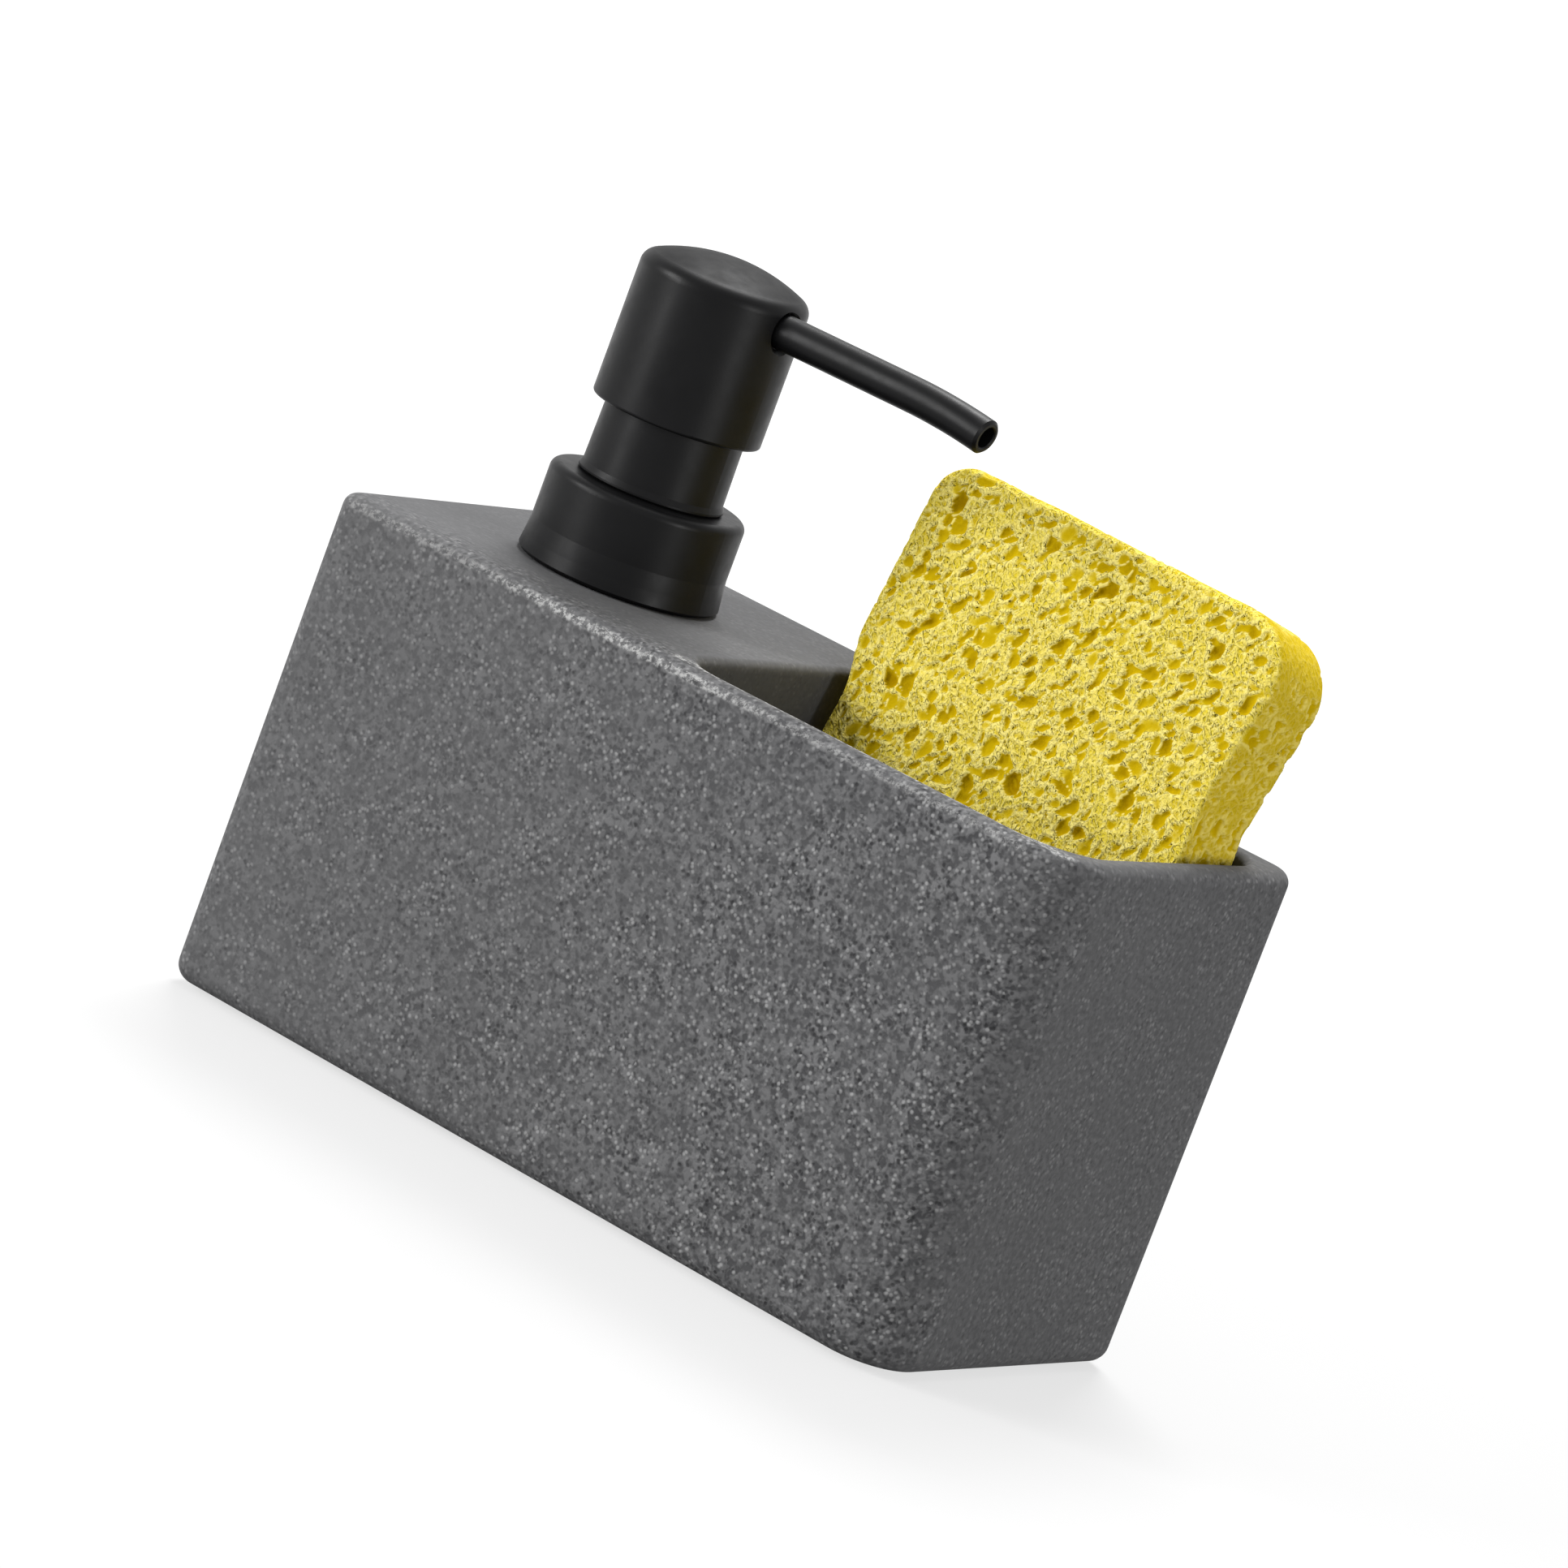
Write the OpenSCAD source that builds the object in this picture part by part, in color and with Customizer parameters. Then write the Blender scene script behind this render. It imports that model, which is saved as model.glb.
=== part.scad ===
// Soap pump caddy: a cast block with a soap reservoir and a screw-on pump at one end,
// and an open pocket with an upright sponge at the other. Millimetres, +Z up.
// The origin is the centre of the underside of the base pad. +X runs along the front face,
// towards the pocket, and +Y runs from the front face to the back.

/* [Body] */
// Depth of the block, front to back
body_d = 66.5; // [64:0.5:80]
// Height of the block
body_h = 82.5; // [78:0.5:95]
// Radius of the upright corner at the front left
front_left_r = 4.2; // [4:0.1:9]
// Radius of the upright corner at the front right
front_right_r = 11.5; // [8:0.5:16]
// Radius of the two upright corners at the back
rear_r = 5; // [4:0.5:10]
// Rounding of the top edge
top_round = 2.2; // [1.2:0.1:2.6]
// Rounding of the bottom edge
foot_round = 3.2; // [2.4:0.1:3.8]

/* [Pocket] */
// Wall between the pocket and the outside
pocket_wall = 4.4; // [4:0.1:6]
// How much wider the pocket is than the sponge
pocket_play = 5; // [4.6:0.1:8]
// Thickness of the floor under the pocket and the reservoir
floor_t = 8.4; // [6:0.1:11]
// Inside radius of the pocket's front right corner
pocket_front_right_r = 10.5; // [7:0.5:12]
// Inside radius of the pocket's front left corner
pocket_front_left_r = 8; // [3:0.5:10]
// Inside radius of the pocket's rear right corner
pocket_rear_right_r = 8.5; // [5:0.5:12]
// Inside radius of the pocket's rear left corner
pocket_rear_left_r = 5; // [3:0.5:7]
// Rounding of the pocket's rim on its inner side
rim_round = 1.3; // [0.8:0.1:1.6]

/* [Reservoir] */
// Inside width of the reservoir
reservoir_w = 55.6; // [52:0.1:75]
// Wall between the reservoir and the outside
reservoir_wall = 6; // [5:0.5:8]
// Wall between the reservoir and the pocket
divider_t = 6; // [4:0.5:8]
// Thickness of the deck over the reservoir
deck_t = 9; // [7:0.5:12]
// Inside radius of the reservoir's upright corners
reservoir_r = 8; // [5:0.5:12]

/* [Base pad] */
// Thickness of the base pad
pad_t = 1.6; // [1.2:0.1:2.5]
// Depth of the recess that holds the pad
pad_recess = 0.9; // [0.5:0.1:1.1]
// Distance from the block's side to the pad's edge
pad_inset = 9; // [7:0.5:14]
// Gap between the pad's edge and its recess
pad_gap = 0.3; // [0.2:0.1:0.6]

/* [Neck] */
// Distance of the pump's axis from the block's left side
pump_from_left = 33.7; // [31:0.1:38]
// Distance of the pump's axis from the block's front face
pump_from_front = 31.6; // [30:0.1:36]
// Bore of the neck
neck_bore_r = 10.9; // [10:0.1:11.2]
// Radius of the neck at the root of its thread
neck_root_r = 12.4; // [12.2:0.1:12.6]
// Height of the thread's ridge above its root
thread_h = 1.1; // [0.8:0.1:1.1]
// Rise of the thread in one turn
thread_pitch = 4.2; // [3.6:0.1:4.6]
// Turns of the thread
thread_turns = 1.5; // [1:0.25:1.75]
// Height of the neck above the deck
neck_h = 10.5; // [10:0.1:12]
// Radius of the neck's flange, let into the deck
neck_flange_r = 15.4; // [14.6:0.1:15.8]
// Thickness of the neck's flange
neck_flange_t = 2; // [1.5:0.1:3]

/* [Collar] */
// Radius of the collar above its flared foot
collar_r = 16.05; // [15.8:0.05:17]
// How far the collar's foot flares out
collar_flare = 0.5; // [0.2:0.05:0.8]
// Height up to which the collar flares
collar_flare_h = 5.8; // [4:0.1:7]
// Wall of the collar's outer shell
collar_shell_t = 0.8; // [0.6:0.05:1]
// Thickness of the inner nut's top plate
nut_plate_t = 1.2; // [1:0.1:1.6]
// Rounding of the collar's top edge
collar_round = 1.4; // [0.8:0.1:1.8]
// Radius of the hole in the collar's top
collar_hole_r = 10.9; // [10.6:0.05:11.2]

/* [Pump] */
// Travel of the pump when it is pressed
press_travel = 10.5; // [8:0.1:10.9]
// Thickness of the sealing washer on the neck's rim
washer_t = 0.8; // [0.6:0.1:1]
// Radius of the housing's flange, which the collar clamps
housing_flange_r = 12.4; // [12:0.1:12.8]
// Thickness of the housing's flange
housing_flange_t = 1.5; // [1.2:0.1:2]
// Bore of the pump chamber
chamber_r = 6.2; // [5.8:0.1:6.6]
// Wall of the pump chamber
chamber_wall = 1.2; // [1:0.1:1.5]
// Length of the pump chamber below the housing's flange
chamber_l = 41.5; // [40:0.5:46]
// Radius of the inlet ball
ball_r = 2.4; // [2:0.1:2.6]
// How far the inlet ball lifts off its seat
ball_lift = 1.5; // [1:0.1:2]
// Thickness of the ball's cage plate
cage_t = 1.6; // [1.2:0.1:2]
// Radius of the dip tube
dip_r = 2.5; // [2.2:0.1:2.8]
// Bore of the dip tube
dip_bore_r = 1.7; // [1.4:0.1:1.8]
// Gap between the dip tube and the reservoir's floor
dip_floor_gap = 2.5; // [1.5:0.1:5]
// Radius of the stem
stem_r = 3; // [2.8:0.05:3.2]
// Bore of the stem
stem_bore_r = 1.7; // [1.4:0.1:1.8]
// Length of the piston
piston_l = 6.2; // [5:0.1:6.6]
// Radius of the spring's wire
spring_wire_r = 0.5; // [0.4:0.05:0.55]
// Radius of the spring at the middle of its wire
spring_r = 4.4; // [4:0.1:4.8]
// Curls of the return spring
spring_curls = 6; // [4:1:7]

/* [Guide sleeve] */
// Radius of the sleeve just above its foot ring
sleeve_r = 11.55; // [11.45:0.05:11.7]
// How much narrower the sleeve is at its top
sleeve_taper = 0.25; // [0:0.05:0.3]
// Radius of the sleeve's foot ring
sleeve_foot_r = 11.95; // [11.8:0.05:12.1]
// Height of the sleeve's foot ring
sleeve_foot_h = 1.5; // [1:0.1:2.2]
// Height of the whole sleeve
sleeve_h = 16.3; // [15:0.1:16.6]
// Wall of the sleeve
sleeve_t = 1.1; // [0.8:0.05:1.2]

/* [Head] */
// Height of the head's lower edge above the deck
head_lift = 27; // [26.8:0.1:29]
// Radius of the head
head_r = 13.8; // [13.6:0.05:14.4]
// Height of the head's straight side
head_side_h = 21.8; // [21.4:0.1:24]
// Rounding of the head's shoulder
head_round = 2.5; // [2:0.1:3]
// Radius of the head's domed top
head_dome_r = 29.2; // [24:0.1:40]
// Wall of the head's shell
head_t = 1.2; // [1:0.05:1.25]
// Rounding of the head's lower edge
head_edge_r = 0.55; // [0.3:0.05:0.6]

/* [Spout] */
// Radius of the spout tube
spout_r = 2.85; // [2.6:0.05:2.9]
// Bore of the spout tube
spout_bore_r = 1.75; // [1.6:0.05:2.1]
// Depth of the spout's axis below the end of the head's straight side
spout_drop = 2.1; // [1.9:0.1:2.4]
// Reach of the spout's straight part from the pump's axis
spout_straight = 38.5; // [32:0.5:44]
// Bending radius of the spout's drooping end
spout_bend_r = 110; // [80:5:160]
// Angle of the drooping end
spout_bend = 8.2; // [5:0.1:10]

/* [Sponge] */
// Width of the sponge
sponge_w = 70; // [60:0.5:90]
// Thickness of the sponge
sponge_t = 15; // [12:0.5:18]
// Height of the sponge, along its lean
sponge_h = 110; // [95:1:115]
// How far the sponge leans back, in degrees
sponge_lean = 13.9; // [10:0.1:16]
// How far the sponge is turned on its foot, in degrees
sponge_turn = -4.8; // [-5:0.1:0]
// Radius of the sponge's corners
sponge_r = 8; // [5:0.5:14]
// Radius of its upper corner at the right, which is worn rounder
sponge_right_r = 12; // [5:0.5:16]
// Gap between the sponge and what it rests on
sponge_gap = 0.4; // [0.3:0.1:0.6]

/* [Hidden] */
$fn = 96;

// Overrun of every cut past the face that it opens
over = 1;
// Gap of two pieces that are pushed or glued together
push_gap = 0.05;
// Gap of two pieces that slide or turn on each other
run_gap = 0.1;
// Gap where a piece rests on another that it can be lifted from
rest_gap = 0.2;
// Free space round the thread, inside the collar
thread_gap = 0.3;

// Levels of the block, from the surface that it stands on
body_z = pad_t - pad_recess;
deck_z = body_z + body_h;
floor_z = body_z + floor_t;
ceiling_z = deck_z - deck_t;

// Width of the pocket, and of the block along its front face
pocket_w = sponge_w + pocket_play;
body_w = reservoir_wall + reservoir_w + divider_t + pocket_w + pocket_wall;

// Places in plan
pump_x = pump_from_left - body_w / 2;
pump_y = pump_from_front - body_d / 2;
pocket_right = body_w / 2 - pocket_wall;
pocket_left = pocket_right - pocket_w;
pocket_back = body_d / 2 - pocket_wall;
pocket_d = body_d - 2 * pocket_wall;
reservoir_left = reservoir_wall - body_w / 2;
reservoir_right = reservoir_left + reservoir_w;
reservoir_d = body_d - 2 * reservoir_wall;

// Radii of the corners, in the order front right, rear right, rear left, front left
body_radii = [front_right_r, rear_r, rear_r, front_left_r];
pocket_radii = [pocket_front_right_r, pocket_rear_right_r, pocket_rear_left_r,
                pocket_front_left_r];
reservoir_radii = [reservoir_r, reservoir_r, reservoir_r, reservoir_r];
pad_radius = 4;
pad_radii = [pad_radius, pad_radius, pad_radius, pad_radius];
recess_radius = pad_radius + pad_gap;
recess_radii = [recess_radius, recess_radius, recess_radius, recess_radius];

// Neck insert: its skirt through the deck, and its thread
neck_skirt = 1.2;
thread_base = 2.4;
thread_tip = 0.9;
thread_bite = 0.3;
thread_lead = 2.1;
thread_steps = 24;
thread_fade_steps = 4;
thread_low_share = 0.1;

// Levels of the pump, from the neck's rim upwards
rim_z = deck_z + neck_h;
washer_z = rim_z + rest_gap;
flange_z = washer_z + washer_t;
flange_top = flange_z + housing_flange_t;
nut_plate_z = flange_top + run_gap;
nut_top = nut_plate_z + nut_plate_t;
nut_bore_r = neck_root_r + thread_h + thread_gap;
nut_r = collar_r - collar_shell_t - push_gap;
collar_foot_z = deck_z + thread_gap;
collar_top = nut_top + push_gap + collar_shell_t;
collar_edge = 0.5;
sleeve_z = collar_top + run_gap;
sleeve_top = sleeve_z + sleeve_h;
sleeve_web_h = 2.4;
sleeve_edge = 0.3;
sleeve_ring_share = 0.4;
chamber_floor = flange_z - chamber_l;
cage_top = chamber_floor + cage_t;

// Housing: the upstand under its cap, the ball's room and seat, and the dip tube's socket
upstand_h = 6;
upstand_wall = 1.9;
upstand_r = chamber_r + upstand_wall;
upstand_top = flange_top + upstand_h;
housing_r = chamber_r + chamber_wall;
ball_gap = 0.6;
ball_room_r = ball_r + ball_gap;
ball_room_wall = 1.5;
ball_z = chamber_floor - run_gap - ball_lift - ball_r;
passage_r = 1.5;
seat_z = ball_z - sqrt(2) * (ball_r + push_gap) + passage_r;
seat_top = seat_z + ball_room_r - passage_r;
socket_top = seat_z - ball_room_wall;
socket_wall = 1.3;
socket_l = 12;
cage_holes = 4;
cage_hole_r = 0.9;
cage_hole_at = 2.6;

// Housing cap: its skirt round the upstand, its plate and the stem's guide
cap_wall = 1;
cap_plate_t = 1.5;
cap_r = upstand_r + push_gap + cap_wall;
cap_z = flange_top + run_gap;
cap_plate_z = upstand_top + push_gap;
guide_wall = 1.9;
guide_rise = 1.3;
guide_drop = 1.5;
guide_top = cap_plate_z + cap_plate_t + guide_rise;
guide_bottom = flange_z - guide_drop;

// Plunger: the stem with its stop ring and tail, the piston and the rod
stop_rim = 1.6;
stop_t = 2;
tail_l = 7.5;
tail_swell = 0.8;
stop_top = guide_bottom - rest_gap;
stem_bottom = stop_top - stop_t - tail_l;
rod_wall = 1.1;
rod_bore_r = 1.3;
rod_r = rod_bore_r + rod_wall;
rod_plug_l = 5.4;
rod_neck_l = 1.6;
rod_flange_t = 1.6;
rod_flange_rim = 2.8;
port_r = 0.6;
piston_top = stem_bottom - rest_gap;
piston_z = piston_top - piston_l;
piston_lip = 0.9;
piston_waist = 0.8;
rod_flange_top = piston_z - rod_neck_l;
rod_z = rod_flange_top - rod_flange_t;

// Return spring, one tube of rings of points along its curls
coil_rings = 8;
coil_sides = 6;
coil_count = coil_rings * spring_curls;
coil_z = cage_top + rest_gap + spring_wire_r;
coil_top = rod_z - rest_gap - spring_wire_r;

// Levels of the head and places on it
head_z = deck_z + head_lift;
shoulder_z = head_z + head_side_h;
spout_z = shoulder_z - spout_drop;
dome_z = shoulder_z - sqrt(pow(head_dome_r - head_round, 2) - pow(head_r - head_round, 2));
core_gap = 0.6;
core_z = sleeve_top + press_travel + core_gap;
core_top = shoulder_z + head_round - core_gap;
hub_z = guide_top + press_travel + core_gap;
hub_wall = 2.2;
stem_roof = 0.75;
stem_top = spout_z - spout_bore_r - stem_roof;
spout_seat = 7;
spout_hole_gap = 0.2;
spout_dish = 0.7;
spout_bevel = 0.2;
spout_edge = 0.45;

// Sponge: where its foot stands, so that it clears the floor and the pocket's rear rim
sponge_foot_z = floor_z + sponge_gap + sponge_t * sin(sponge_lean);
sponge_rise = (deck_z - floor_z - sponge_gap) / cos(sponge_lean);
sponge_reach = sponge_t * cos(sponge_lean) + sponge_rise * sin(sponge_lean);
sponge_back = sponge_reach * cos(sponge_turn) - sponge_w / 2 * sin(sponge_turn);
sponge_y = pocket_back - sponge_gap - sponge_back;
sponge_slack = 1.45;
sponge_x = pocket_left + sponge_slack + sponge_w / 2 * cos(sponge_turn);

// The least gap from curl to curl of the return spring, measured on its rings' centres
function coil_centre(i) = let (a = 360 * i / coil_rings)
    [spring_r * cos(a), spring_r * sin(a), coil_z + (coil_top - coil_z) * i / coil_count];
coil_least = min([for (i = [0:coil_count - coil_rings], k = [coil_rings / 2:coil_count - i])
    norm(coil_centre(i) - coil_centre(i + k))]) - 2 * spring_wire_r;
echo(least_gap_of_the_return_spring = coil_least);

// An outline in plan, centred, with a radius of its own at each corner
module outline(w, d, radii) {
    x = w / 2;
    y = d / 2;
    fr = radii[0];
    rr = radii[1];
    rl = radii[2];
    fl = radii[3];
    polygon([[fl - x, -y], [x - fr, -y], [x, fr - y], [x, y - rr],
             [x - rr, y], [rl - x, y], [-x, y - rl], [-x, fl - y]]);
    translate([x - fr, fr - y]) circle(fr);
    translate([x - rr, y - rr]) circle(rr);
    translate([rl - x, y - rl]) circle(rl);
    translate([fl - x, fl - y]) circle(fl);
}

// The children, a flat profile whose x points out of the outline and whose y points up,
// carried once round the outline
module round_outline(w, d, radii) {
    centres = [[w / 2 - radii[0], radii[0] - d / 2], [w / 2 - radii[1], d / 2 - radii[1]],
               [radii[2] - w / 2, d / 2 - radii[2]], [radii[3] - w / 2, radii[3] - d / 2]];
    for (i = [0:3]) {
        here = centres[i];
        next = centres[(i + 1) % 4];
        run = i % 2 == 0 ? abs(next.y - here.y) : abs(next.x - here.x);
        translate([here.x, here.y, 0]) rotate([0, 0, 90 * i]) {
            rotate([0, 0, -90]) rotate_extrude(angle = 90) intersection() {
                translate([radii[i], 0]) children();
                translate([0, -body_h]) square([body_w, 3 * body_h]);
            }
            translate([radii[i], run, 0]) rotate([90, 0, 0]) linear_extrude(run) children();
        }
    }
}

// Profile of the block's side, rounded at its top and its foot
module side_profile(depth) {
    intersection() {
        translate([-depth, 0]) square([depth, body_h]);
        union() {
            translate([-body_w, 0]) square([body_w - foot_round, body_h]);
            translate([-foot_round, foot_round]) square([foot_round - top_round, body_h - foot_round]);
            translate([-foot_round, foot_round]) square([foot_round, body_h - foot_round - top_round]);
            translate([-foot_round, foot_round]) circle(foot_round);
            translate([-top_round, body_h - top_round]) circle(top_round);
        }
    }
}

// The block before it is hollowed
module block() {
    inset = max(top_round, foot_round);
    core_radii = [for (r = body_radii) r - inset];
    linear_extrude(body_h) outline(body_w - 2 * inset, body_d - 2 * inset, core_radii);
    round_outline(body_w, body_d, body_radii) side_profile(inset);
}

// The pocket, with the rounding that it leaves on the inner side of its rim
module pocket_cut() {
    translate([(pocket_left + pocket_right) / 2, 0, 0]) {
        translate([0, 0, floor_z])
            linear_extrude(body_h) outline(pocket_w, pocket_d, pocket_radii);
        translate([0, 0, deck_z - rim_round]) round_outline(pocket_w, pocket_d, pocket_radii)
            difference() {
                translate([-rim_round, 0]) square([2 * rim_round, rim_round + over]);
                translate([rim_round, 0]) circle(rim_round);
                translate([rim_round, rim_round]) square([rim_round, over]);
            }
    }
}

module caddy_body() {
    color([0.33, 0.33, 0.34]) difference() {
        translate([0, 0, body_z]) block();
        pocket_cut();
        translate([(reservoir_left + reservoir_right) / 2, 0, floor_z])
            linear_extrude(ceiling_z - floor_z)
                outline(reservoir_w, reservoir_d, reservoir_radii);
        translate([pump_x, pump_y, ceiling_z - over])
            cylinder(h = deck_t + 2 * over, r = neck_root_r + push_gap);
        translate([pump_x, pump_y, deck_z - neck_flange_t])
            cylinder(h = neck_flange_t + over, r = neck_flange_r + push_gap);
        translate([0, 0, body_z - over]) linear_extrude(pad_recess + over)
            outline(body_w - 2 * pad_inset + 2 * pad_gap, body_d - 2 * pad_inset + 2 * pad_gap,
                    recess_radii);
    }
}

module base_pad() {
    color([0.08, 0.08, 0.08]) linear_extrude(pad_t)
        outline(body_w - 2 * pad_inset, body_d - 2 * pad_inset, pad_radii);
}

// A closed skin over rings of points, each with as many points as the first
module skin(rings) {
    n = len(rings[0]);
    last = len(rings) - 1;
    sides = [for (i = [0:last - 1], j = [0:n - 1]) let (k = (j + 1) % n)
        each [[i * n + j, i * n + k, (i + 1) * n + k], [i * n + j, (i + 1) * n + k, (i + 1) * n + j]]];
    caps = [for (j = [1:n - 2]) each [[0, j + 1, j], [last * n, last * n + j, last * n + j + 1]]];
    polyhedron([for (ring = rings) each ring], concat(sides, caps));
}

// The ridge of the neck's thread, which rises and fades at its two ends
module neck_thread() {
    count = thread_turns * thread_steps;
    start = rim_z - thread_lead - thread_pitch * thread_turns;
    skin([for (i = [0:count]) let (
        a = 360 * i / thread_steps,
        z = start + thread_pitch * i / thread_steps,
        fade = max(thread_low_share, min(1, i / thread_fade_steps, (count - i) / thread_fade_steps)),
        crest = neck_root_r + thread_h * fade,
        root = neck_root_r - thread_bite)
        [for (p = [[root, -thread_base / 2], [crest, -thread_tip / 2],
                   [crest, thread_tip / 2], [root, thread_base / 2]])
            [p.x * cos(a), p.x * sin(a), z + p.y]]]);
}

module neck_insert() {
    color([0.07, 0.07, 0.07]) translate([pump_x, pump_y, 0]) difference() {
        union() {
            translate([0, 0, ceiling_z - neck_skirt])
                cylinder(h = rim_z - ceiling_z + neck_skirt, r = neck_root_r);
            translate([0, 0, deck_z - neck_flange_t]) cylinder(h = neck_flange_t, r = neck_flange_r);
            neck_thread();
        }
        translate([0, 0, ceiling_z - neck_skirt - over])
            cylinder(h = rim_z - ceiling_z + neck_skirt + 2 * over, r = neck_bore_r);
    }
}

module collar_shell() {
    color([0.11, 0.11, 0.11]) translate([pump_x, pump_y, 0]) rotate_extrude() difference() {
        union() {
            polygon([[0, collar_foot_z], [collar_r + collar_flare - collar_edge, collar_foot_z],
                     [collar_r + collar_flare, collar_foot_z + collar_edge],
                     [collar_r + collar_flare / 2, deck_z + collar_flare_h / 2],
                     [collar_r, deck_z + collar_flare_h], [collar_r, collar_top - collar_round],
                     [collar_r - collar_round, collar_top], [0, collar_top]]);
            intersection() {
                translate([collar_r - collar_round, collar_top - collar_round]) circle(collar_round);
                square([collar_r, collar_top]);
            }
        }
        square([collar_r - collar_shell_t, nut_top + push_gap]);
        square([collar_hole_r, collar_top + over]);
    }
}

module collar_nut() {
    color([0.07, 0.07, 0.07]) translate([pump_x, pump_y, 0]) difference() {
        translate([0, 0, collar_foot_z]) cylinder(h = nut_top - collar_foot_z, r = nut_r);
        translate([0, 0, collar_foot_z - over])
            cylinder(h = nut_plate_z - collar_foot_z + over, r = nut_bore_r);
        translate([0, 0, collar_foot_z]) cylinder(h = nut_top - collar_foot_z + over, r = collar_hole_r);
    }
}

module guide_sleeve() {
    color([0.12, 0.12, 0.12]) translate([pump_x, pump_y, 0]) rotate_extrude()
        polygon([[cap_r + push_gap, sleeve_z], [sleeve_foot_r - sleeve_edge, sleeve_z],
                 [sleeve_foot_r, sleeve_z + sleeve_edge],
                 [sleeve_foot_r, sleeve_z + sleeve_ring_share * sleeve_foot_h],
                 [sleeve_r, sleeve_z + sleeve_foot_h], [sleeve_r - sleeve_taper, sleeve_top],
                 [sleeve_r - sleeve_taper - sleeve_t, sleeve_top],
                 [sleeve_r - sleeve_t, sleeve_z + sleeve_web_h],
                 [cap_r + push_gap, sleeve_z + sleeve_web_h]]);
}

module sealing_washer() {
    color([0.85, 0.85, 0.83]) translate([pump_x, pump_y, washer_z]) difference() {
        cylinder(h = washer_t, r = housing_flange_r);
        translate([0, 0, -over]) cylinder(h = washer_t + 2 * over, r = housing_r + push_gap);
    }
}

module pump_housing() {
    color([0.88, 0.88, 0.86]) translate([pump_x, pump_y, 0]) difference() {
        rotate_extrude() polygon([
            [0, socket_top - socket_l], [dip_r + socket_wall, socket_top - socket_l],
            [dip_r + socket_wall, socket_top], [ball_room_r + ball_room_wall, seat_z],
            [ball_room_r + ball_room_wall, ball_z], [housing_r, chamber_floor - chamber_wall],
            [housing_r, flange_z], [housing_flange_r, flange_z], [housing_flange_r, flange_top],
            [upstand_r, flange_top], [upstand_r, upstand_top], [0, upstand_top]]);
        translate([0, 0, chamber_floor])
            cylinder(h = upstand_top - chamber_floor + over, r = chamber_r);
        translate([0, 0, seat_top]) cylinder(h = chamber_floor - seat_top + over, r = ball_room_r);
        translate([0, 0, seat_z]) cylinder(h = seat_top - seat_z, r1 = passage_r, r2 = ball_room_r);
        translate([0, 0, socket_top - over]) cylinder(h = seat_z - socket_top + 2 * over, r = passage_r);
        translate([0, 0, socket_top - socket_l - over])
            cylinder(h = socket_l + over, r = dip_r + push_gap);
    }
}

module housing_cap() {
    color([0.88, 0.88, 0.86]) translate([pump_x, pump_y, 0]) difference() {
        union() {
            translate([0, 0, cap_z]) cylinder(h = cap_plate_z + cap_plate_t - cap_z, r = cap_r);
            translate([0, 0, guide_bottom])
                cylinder(h = guide_top - guide_bottom, r = stem_r + guide_wall);
        }
        translate([0, 0, cap_z - over]) difference() {
            cylinder(h = cap_plate_z - cap_z + over, r = upstand_r + push_gap);
            translate([0, 0, -over])
                cylinder(h = cap_plate_z - cap_z + 3 * over, r = stem_r + guide_wall);
        }
        translate([0, 0, guide_bottom - over])
            cylinder(h = guide_top - guide_bottom + 2 * over, r = stem_r + run_gap);
    }
}

// A straight tube that stands on its lower end
module tube(r, bore_r, h) {
    difference() {
        cylinder(h = h, r = r);
        translate([0, 0, -over]) cylinder(h = h + 2 * over, r = bore_r);
    }
}

module dip_tube() {
    bottom = floor_z + dip_floor_gap;
    color([0.92, 0.92, 0.90]) translate([pump_x, pump_y, bottom])
        tube(dip_r, dip_bore_r, socket_top - push_gap - bottom);
}

module inlet_ball() {
    color([0.75, 0.76, 0.78]) translate([pump_x, pump_y, ball_z]) sphere(ball_r);
}

module ball_cage() {
    color([0.88, 0.88, 0.86]) translate([pump_x, pump_y, chamber_floor]) difference() {
        cylinder(h = cage_t, r = chamber_r - push_gap);
        for (i = [0:cage_holes - 1]) rotate([0, 0, 360 * i / cage_holes])
            translate([cage_hole_at, 0, -over]) cylinder(h = cage_t + 2 * over, r = cage_hole_r);
    }
}

module return_spring() {
    color([0.72, 0.73, 0.75]) translate([pump_x, pump_y, 0])
        skin([for (i = [0:coil_count]) let (a = 360 * i / coil_rings, z = coil_centre(i).z)
            [for (j = [0:coil_sides - 1]) let (
                b = 360 * j / coil_sides,
                r = spring_r + spring_wire_r * cos(b))
                [r * cos(a), r * sin(a), z + spring_wire_r * sin(b)]]]);
}

module piston_rod() {
    port_z = rod_flange_top + rod_neck_l / 2;
    color([0.88, 0.88, 0.86]) translate([pump_x, pump_y, 0]) difference() {
        union() {
            translate([0, 0, rod_z]) cylinder(h = stem_bottom + rod_plug_l - rod_z, r = rod_r);
            translate([0, 0, rod_z]) cylinder(h = rod_flange_t, r = rod_r + rod_flange_rim);
        }
        translate([0, 0, port_z])
            cylinder(h = stem_bottom + rod_plug_l - port_z + over, r = rod_bore_r);
        translate([-rod_r - over, 0, port_z]) rotate([0, 90, 0])
            cylinder(h = 2 * rod_r + 2 * over, r = port_r);
    }
}

module piston() {
    lip_r = chamber_r - run_gap;
    color([0.80, 0.80, 0.78]) translate([pump_x, pump_y, 0]) difference() {
        rotate_extrude() polygon([
            [0, piston_z], [lip_r, piston_z], [lip_r, piston_z + piston_lip],
            [lip_r - piston_waist, piston_z + 2 * piston_lip],
            [lip_r - piston_waist, piston_top - 2 * piston_lip],
            [lip_r, piston_top - piston_lip], [lip_r, piston_top], [0, piston_top]]);
        translate([0, 0, piston_z - over]) cylinder(h = piston_l + 2 * over, r = rod_r + push_gap);
    }
}

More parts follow.
